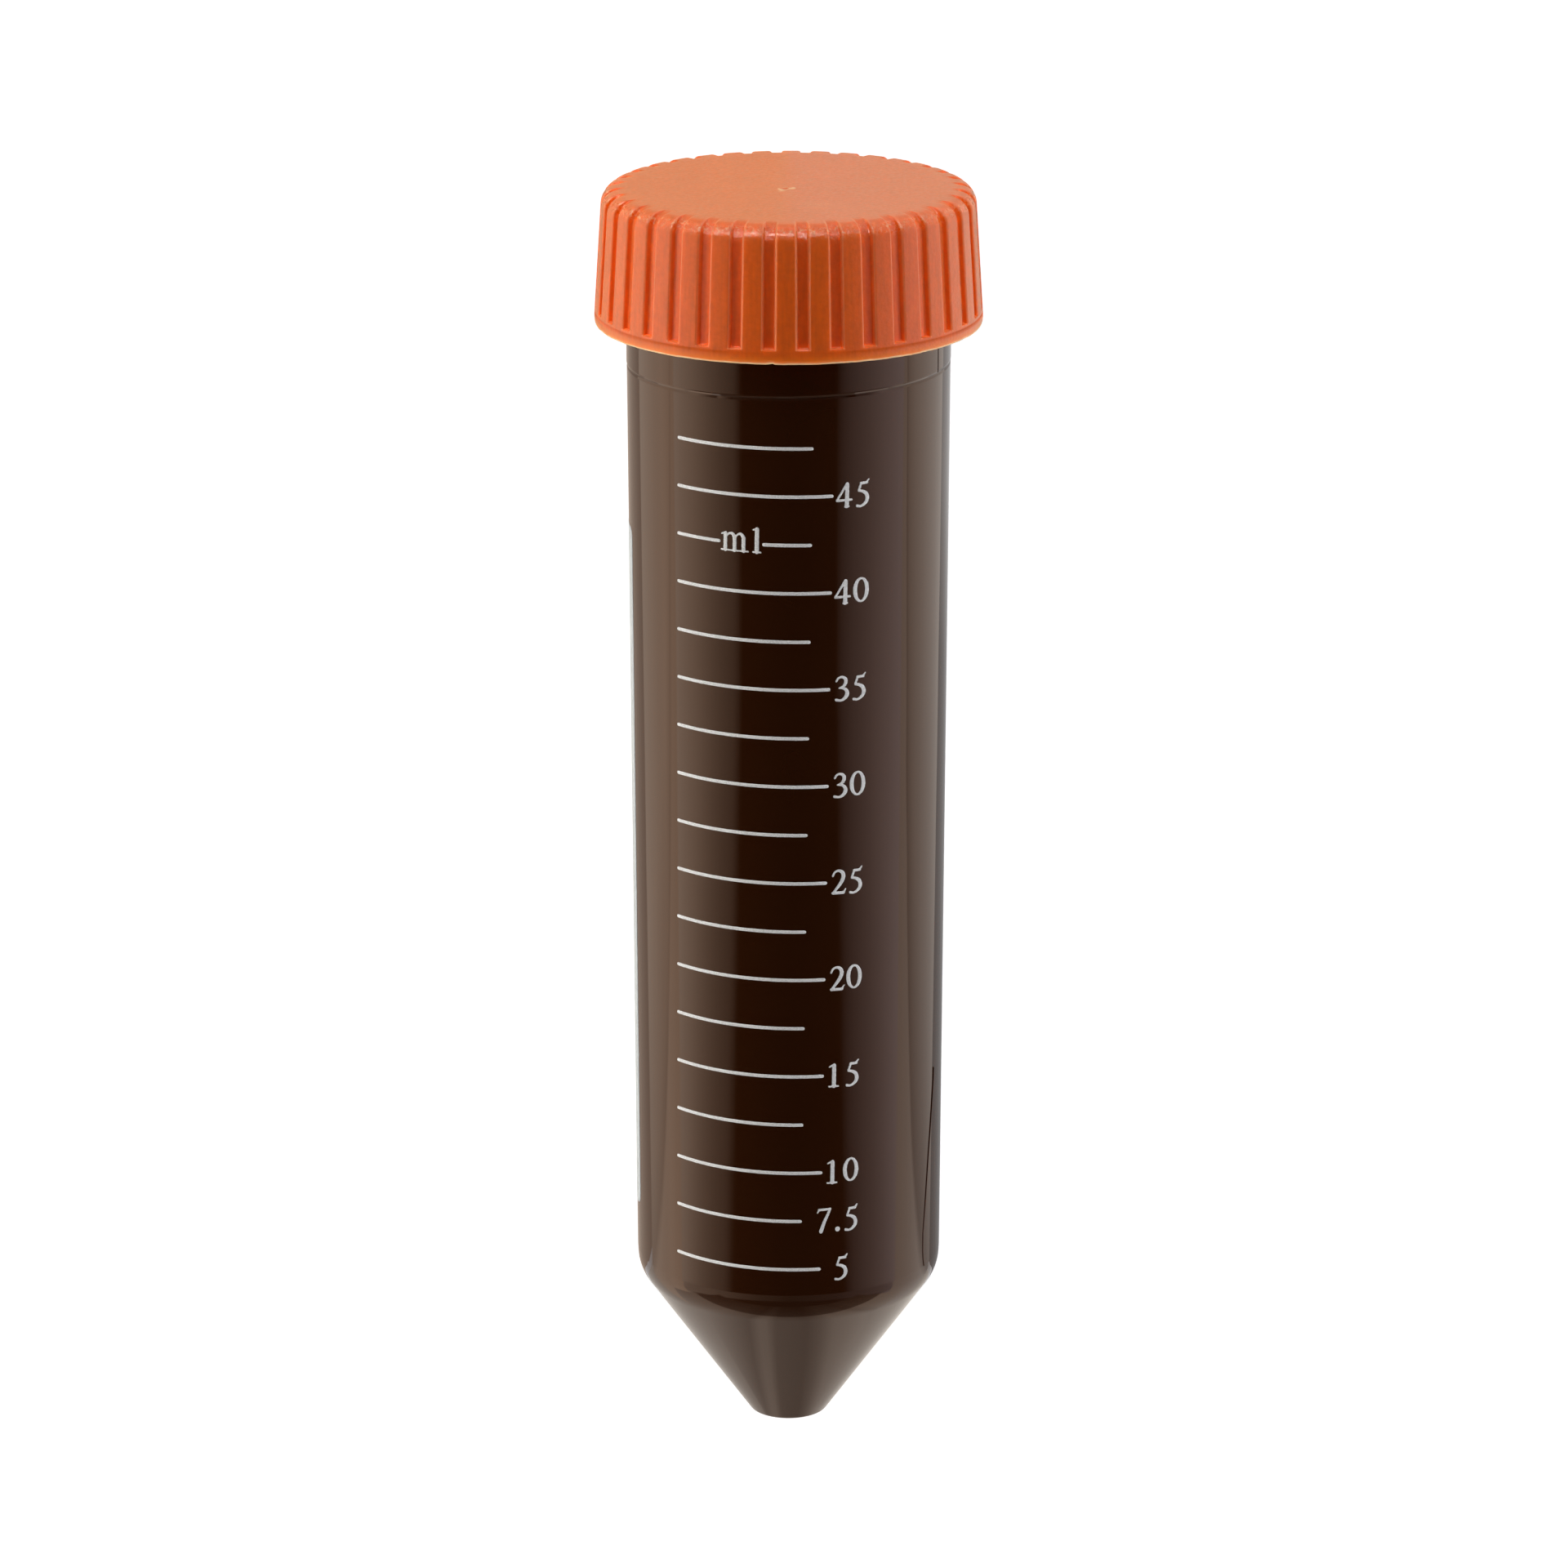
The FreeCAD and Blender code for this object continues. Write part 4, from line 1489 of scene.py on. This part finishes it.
@dataclass
class Studio:
    """A plain pale floor under a soft dome that is dark overhead, and the camera.

    Attributes:
        axes: the tube's axes.
        level: brightness that the dome's levels are shares of.
        walls: (azimuth in degrees from overhead, level) round the middle of the dome.
        far_walls: the same towards both ends of the dome.
        ends: (share of the way along the tube, level) at the dome's ends.
        window: where the middle gives way to the far walls.
        end_window: where the far walls give way to the ends.
        arc: the levels in a narrow strip of light across the dome towards the tip.
        arc_window: where that strip is.
        warm: colour of the left wall's light, sRGB.
        warmer: colour of the reflector's light at the wall's foot, sRGB.
        warmest: colour of the light from the grey card nearest the object, sRGB.
        cool: colour of the light from the right, sRGB.
        neutral: colour of the light of the right reflector, sRGB.
        lift: light that the floor adds where the camera, gloss or clear plastic shows it.
        reach: distance of the lamps, m.
        far: how far the reflectors reach, mm.
        lies: height of the cards that lie on the floor, mm.
        seam: x where the left reflector gives way to the warm grey card, mm.
        left_light: (x in mm, level) of the left reflector's light.
        left_fade: (y in mm, share) of it from the tip's end to the cap's.
        right_light: (x in mm, level) of the right reflector's light.
        right_fade: (y in mm, share) of it.
        lens: focal length, mm on a 36 mm sensor.
        eye: the camera's place on the tube's axes, mm.
        pitch: how far it looks down towards the tip, degrees.
    """

    axes: Axes
    level: float = 6.0
    walls: Levels = (
        (-105, 1.9), (-89, 1.95), (-73, 1.55), (-57, 0.93), (-49, 0.67), (-40, 0.44), (-34, 0.0),
        (34, 0.0), (40, 0.27), (49, 0.5), (57, 0.66), (73, 1.05), (88, 1.3), (105, 1.25))
    far_walls: Levels = (
        (-105, 1.7), (-72, 1.7), (-60, 0.3), (-30, 0.05), (30, 0.05), (60, 0.3), (72, 1.2), (105, 1.2))
    ends: Levels = (
        (-1, 1.2), (-0.8, 1.2), (0.66, 1.1), (0.84, 1.1), (0.9, 1.0), (1, 1.0))
    window: Levels = ((-0.47, 0), (-0.45, 1), (0.05, 1), (0.12, 0))
    end_window: Levels = ((-0.86, 1), (-0.82, 0), (0.62, 0), (0.68, 1))
    arc: Levels = (
        (-105, 1.6), (-60, 1.0), (-44, 0.75), (-36, 0.55), (-20, 0.28), (0, 0.12), (30, 0.17),
        (44, 0.34), (60, 0.55), (105, 1.4))
    arc_window: Levels = ((-0.52, 0), (-0.5, 1), (-0.437, 1), (-0.422, 0))
    warm: str = "#fff8ee"
    warmer: str = "#ffeedc"
    warmest: str = "#ffe9d6"
    cool: str = "#f4f2ff"
    neutral: str = "#fffaf4"
    lift: float = 0.8
    reach: float = 1.2
    far: float = 3900.0
    lies: float = 0.3
    seam: float = -36.8
    left_light: Levels = ((-3900, 1.8), (-117, 1.8), (-55, 1.45), (-43.5, 1.3), (-36.8, 1.15))
    left_fade: Levels = (
        (-3900, 1.0), (-58, 1.0), (-54, 0.72), (-45, 0.85), (-20, 1.0), (3900, 1.0))
    right_light: Levels = ((30, 1.18), (55, 1.3), (3900, 1.3))
    right_fade: Levels = (
        (-3900, 0.9), (-58, 0.9), (-54, 0.5), (-46, 0.58), (-27, 0.77), (5, 0.92), (20, 1.0),
        (3900, 1.0))
    lens: float = 153.71
    eye: tuple[float, float, float] = (-0.42, -584.6, 242.47)
    pitch: float = 17.23

    def floor(self) -> None:
        """Makes a white floor that stays white round the object and keeps its soft shadow."""
        mesh = bpy.data.meshes.new("floor")
        side, level = 4.0, -2e-5
        mesh.from_pydata([(-side, -side, level), (side, -side, level), (side, side, level),
                          (-side, side, level)], [], [(0, 1, 2, 3)])
        put("floor", mesh)
        material = bpy.data.materials.new("matt white paper")
        tree = bare_tree(material)
        path = add_node(tree, "ShaderNodeLightPath")
        shown = add_node(tree, "ShaderNodeMath", {"operation": "MAXIMUM"}, {
            0: path.outputs["Is Glossy Ray"], 1: path.outputs["Is Transmission Ray"]})
        dimmed = add_node(tree, "ShaderNodeMath", {"operation": "MULTIPLY", 1: 0.85},
                          {0: shown.outputs[0]})
        seen = add_node(tree, "ShaderNodeMath", {"operation": "MAXIMUM"}, {
            0: path.outputs["Is Camera Ray"], 1: dimmed.outputs[0]})
        lift = add_node(tree, "ShaderNodeMath", {"operation": "MULTIPLY", 1: self.lift},
                        {0: seen.outputs[0]})
        paper = add_node(tree, "ShaderNodeBsdfDiffuse", {"Color": grey(0.8)})
        glow = add_node(tree, "ShaderNodeEmission", {"Color": grey(1.0)},
                        {"Strength": lift.outputs[0]})
        both = add_node(tree, "ShaderNodeAddShader", {}, {0: paper.outputs[0], 1: glow.outputs[0]})
        add_node(tree, "ShaderNodeOutputMaterial", {}, {"Surface": both.outputs[0]})
        mesh.materials.append(material)

    def card(self, name: str, corner: tuple[float, float, float],
             edge: tuple[float, float, float], light: Levels, tint: str = "#ffffff",
             fade: Levels = ((0, 1), (1, 1))) -> None:
        """Stands or lays a reflector beside the object, which only its gloss shows.

        Args:
            name: its name.
            corner: its first corner, mm.
            edge: its second edge from there, mm; the first edge runs along x.
            light: (x in mm, level) of the light that it gives along x.
            tint: colour of that light, sRGB.
            fade: (share of the second edge, share of the light) across it.
        """
        across, level = np.array(sorted(light), float).T
        along, share = np.array(sorted(fade), float).T
        rows = len(along)
        points = [(x, corner[1] + edge[1] * t, corner[2] + edge[2] * t)
                  for x in across for t in along]
        faces = [(rows * k + j, rows * k + j + 1, rows * (k + 1) + j + 1, rows * (k + 1) + j)
                 for k in range(len(across) - 1) for j in range(rows - 1)]
        mesh = bpy.data.meshes.new(name)
        mesh.from_pydata((np.array(points) * MM).tolist(), [], faces)
        light_at = np.outer(level, share).ravel()
        mesh.attributes.new("light", "FLOAT", "POINT").data.foreach_set("value", light_at)
        made = put(name, mesh)
        made.visible_camera = made.visible_diffuse = made.visible_shadow = False
        made.visible_transmission = False
        material = bpy.data.materials.new("foam board " + name)
        tree = bare_tree(material)
        strength = add_node(tree, "ShaderNodeAttribute", {"attribute_name": "light"})
        glow = add_node(tree, "ShaderNodeEmission", {"Color": linear(tint)},
                        {"Strength": strength.outputs["Fac"]})
        add_node(tree, "ShaderNodeOutputMaterial", {}, {"Surface": glow.outputs[0]})
        mesh.materials.append(material)

    def dome(self) -> None:
        """Makes the soft dome: bright walls, brighter on the left, and a dark card overhead."""
        world = bpy.data.worlds.new("soft dome")
        bpy.context.scene.world = world
        tree = bare_tree(world)
        where = add_node(tree, "ShaderNodeTexCoord")
        parts = add_node(tree, "ShaderNodeSeparateXYZ", {}, {0: where.outputs["Generated"]})
        azimuth = add_node(tree, "ShaderNodeMath", {"operation": "ARCTAN2"},
                           {0: parts.outputs["X"], 1: parts.outputs["Z"]})
        # Towards the tip, beyond the barrel's reflection, the walls stand closer together.
        widen = add_node(tree, "ShaderNodeMapRange", {
            "From Min": -0.40, "From Max": -0.32, "To Min": 0.78 / TURN, "To Max": 1 / TURN},
            {"Value": parts.outputs["Y"]})
        place = add_node(tree, "ShaderNodeMath", {"operation": "MULTIPLY_ADD", 2: 0.5},
                         {0: azimuth.outputs[0], 1: widen.outputs[0]})
        along = add_node(tree, "ShaderNodeMath", {
            "operation": "MULTIPLY_ADD", 1: 0.5, 2: 0.5}, {0: parts.outputs["Y"]})
        # Round the dome the light is warm on the left and cool on the right.
        tints = tuple(zip(linear(self.warm), linear(self.cool)))
        walls, rest, strip = (add_node(tree, "ShaderNodeValToRGB", {"stops": [
            (0.5 + a / 360, tuple(v / self.level * tint[a > 0] for tint in tints))
            for a, v in levels]}, {0: place.outputs[0]})
            for levels in (self.walls, self.far_walls, self.arc))
        ends = add_node(tree, "ShaderNodeValToRGB", {"stops": [
            (0.5 + y / 2, (v / self.level,) * 4) for y, v in self.ends]}, {0: along.outputs[0]})
        colour = rest.outputs[0]
        for levels, window in ((walls, self.window), (strip, self.arc_window),
                               (ends, self.end_window)):
            share = add_node(tree, "ShaderNodeValToRGB", {"stops": [
                (0.5 + y / 2, grey(v)) for y, v in window]}, {0: along.outputs[0]})
            mixed = add_node(tree, "ShaderNodeMix", {"data_type": "RGBA"}, {
                "Factor": share.outputs[0], 6: colour, 7: levels.outputs[0]})
            colour = mixed.outputs[2]
        back = add_node(tree, "ShaderNodeBackground", {"Strength": self.level}, {"Color": colour})
        add_node(tree, "ShaderNodeOutputWorld", {}, {"Surface": back.outputs[0]})

    def lamp(self, name: str, towards: tuple[float, float, float], share: float) -> None:
        """Hangs a soft lamp outside the camera's view, which the gloss doesn't mirror.

        Args:
            name: its name.
            towards: its direction from the object.
            share: the light on a surface that faces it, where 1 shows white as white.
        """
        data = bpy.data.lights.new(name, "AREA")
        data.shape, data.size = "DISK", self.reach / 4.5
        data.energy = share * (math.pi * self.reach) ** 2
        made = put(name, data)
        way = Vector(towards).normalized()
        made.location = way * self.reach
        made.rotation_euler = way.to_track_quat("Z", "Y").to_euler()
        made.visible_glossy = made.visible_camera = False

    def camera(self) -> None:
        """Sets up the camera over the facing side, looking down towards the tip."""
        data = bpy.data.cameras.new("camera")
        data.lens, data.sensor_width = self.lens, 36.0
        data.clip_start, data.clip_end = 0.01, 20.0
        made = put("camera", data)
        p = math.radians(self.pitch)
        ahead = Vector((0, math.cos(p), -math.sin(p)))
        up = Vector((0, math.sin(p), math.cos(p)))
        turned = Matrix((Vector((1, 0, 0)), up, -ahead)).transposed().to_4x4()
        made.matrix_world = (self.axes.matrix() @ Matrix.Translation(Vector(self.eye) * MM)
                             @ turned)
        bpy.context.scene.camera = made

    def build(self) -> None:
        """Builds the studio."""
        self.floor()
        far, lies = self.far, self.lies
        for name, light, tint, fade in (
                ("left_reflector", self.left_light, self.warmer, self.left_fade),
                ("right_reflector", self.right_light, self.neutral, self.right_fade)):
            self.card(name, (0, -far, lies), (0, 2 * far, 0), light, tint,
                      tuple(((y + far) / (2 * far), share) for y, share in fade))
        # Two grey cards under the object, side by side, are painted shade: the gloss shows them as the
        # floor in the object's shadow. A mat lies before them under the tip.
        near, length = -52, 172
        self.card("warm_grey_card", (0, near, lies), (0, length, 0),
                  ((self.seam, 0.62), (0, 0.62)), self.warmest)
        self.card("grey_card", (0, near, lies), (0, length, 0), ((0, 0.58), (30, 0.58)), "#ffffff",
                  ((0, 0.55), (0.17, 0.61), (0.36, 0.76), (0.46, 1.2), (0.58, 1.2), (0.62, 1.0),
                   (1, 1.0)))
        beyond = -90
        self.card("tip_mat", (0, beyond, lies), (0, 36, 0), (
            (self.seam, 1.0), (-10, 0.85), (10, 1.0), (30, 1.0)), self.warm)
        # A striped card stands beyond the tip, for the cone's streaks.
        self.card("tip_card", (0, beyond, lies), (0, 0, 75), (
            (-80, 1.0), (-30, 1.0), (-20, 0.75), (-15, 0.62), (-11, 0.95), (-8.5, 0.95), (-5, 0.62),
            (7, 0.5), (12, 0.66), (17, 0.95), (27, 1.05), (32, 0.85), (40, 1.1), (80, 1.2)),
            self.warm, ((0, 1), (0.46, 1), (0.5, 0.3), (0.8, 0.2), (1, 0.15)))
        # A bright card above the cap's end, for the glints on its rim.
        self.card("glint_card", (0, 136, 150), (0, 80, 0), (
            (-190, 0), (-160, 18), (20, 18), (50, 9), (110, 3), (150, 0)), self.warm,
            ((0, 0), (0.3, 0.1), (0.5, 0.4), (0.68, 1), (1, 1)))
        # Low lamps all round light the object's sides and leave the dark card overhead dark.
        self.lamp("left_lamp", (-0.98, 0.15, 0.09), 0.42)
        self.lamp("right_lamp", (0.98, 0.15, 0.09), 0.32)
        self.lamp("cap_lamp", (0, 0.95, 0.1), 0.19)
        self.lamp("tip_lamp", (0, -0.95, 0.1), 0.22)
        self.dome()
        self.camera()
        bpy.context.scene.view_settings.view_transform = "Standard"


def main() -> None:
    """Builds the object and its studio, in order."""
    logging.basicConfig(level=logging.INFO, format="%(name)s %(message)s")
    axes = Axes.from_record(frame["record"], Cap.top)
    shop = Workshop(axes)
    tube = Tube(shop, MouldedPolypropylene())
    tube.build()
    Cap(shop, MouldedPolyethylene()).build()
    marks = ScreenInk("white screen-print ink", "#fbfcfb", "#dededb")
    panel = ScreenInk("white writing-panel ink", "#d8dedf", "#ced4d5", pit=0.2)
    Print(shop, tube, marks, panel).build()
    Studio(axes).build()


if __name__ == "__main__":
    main()
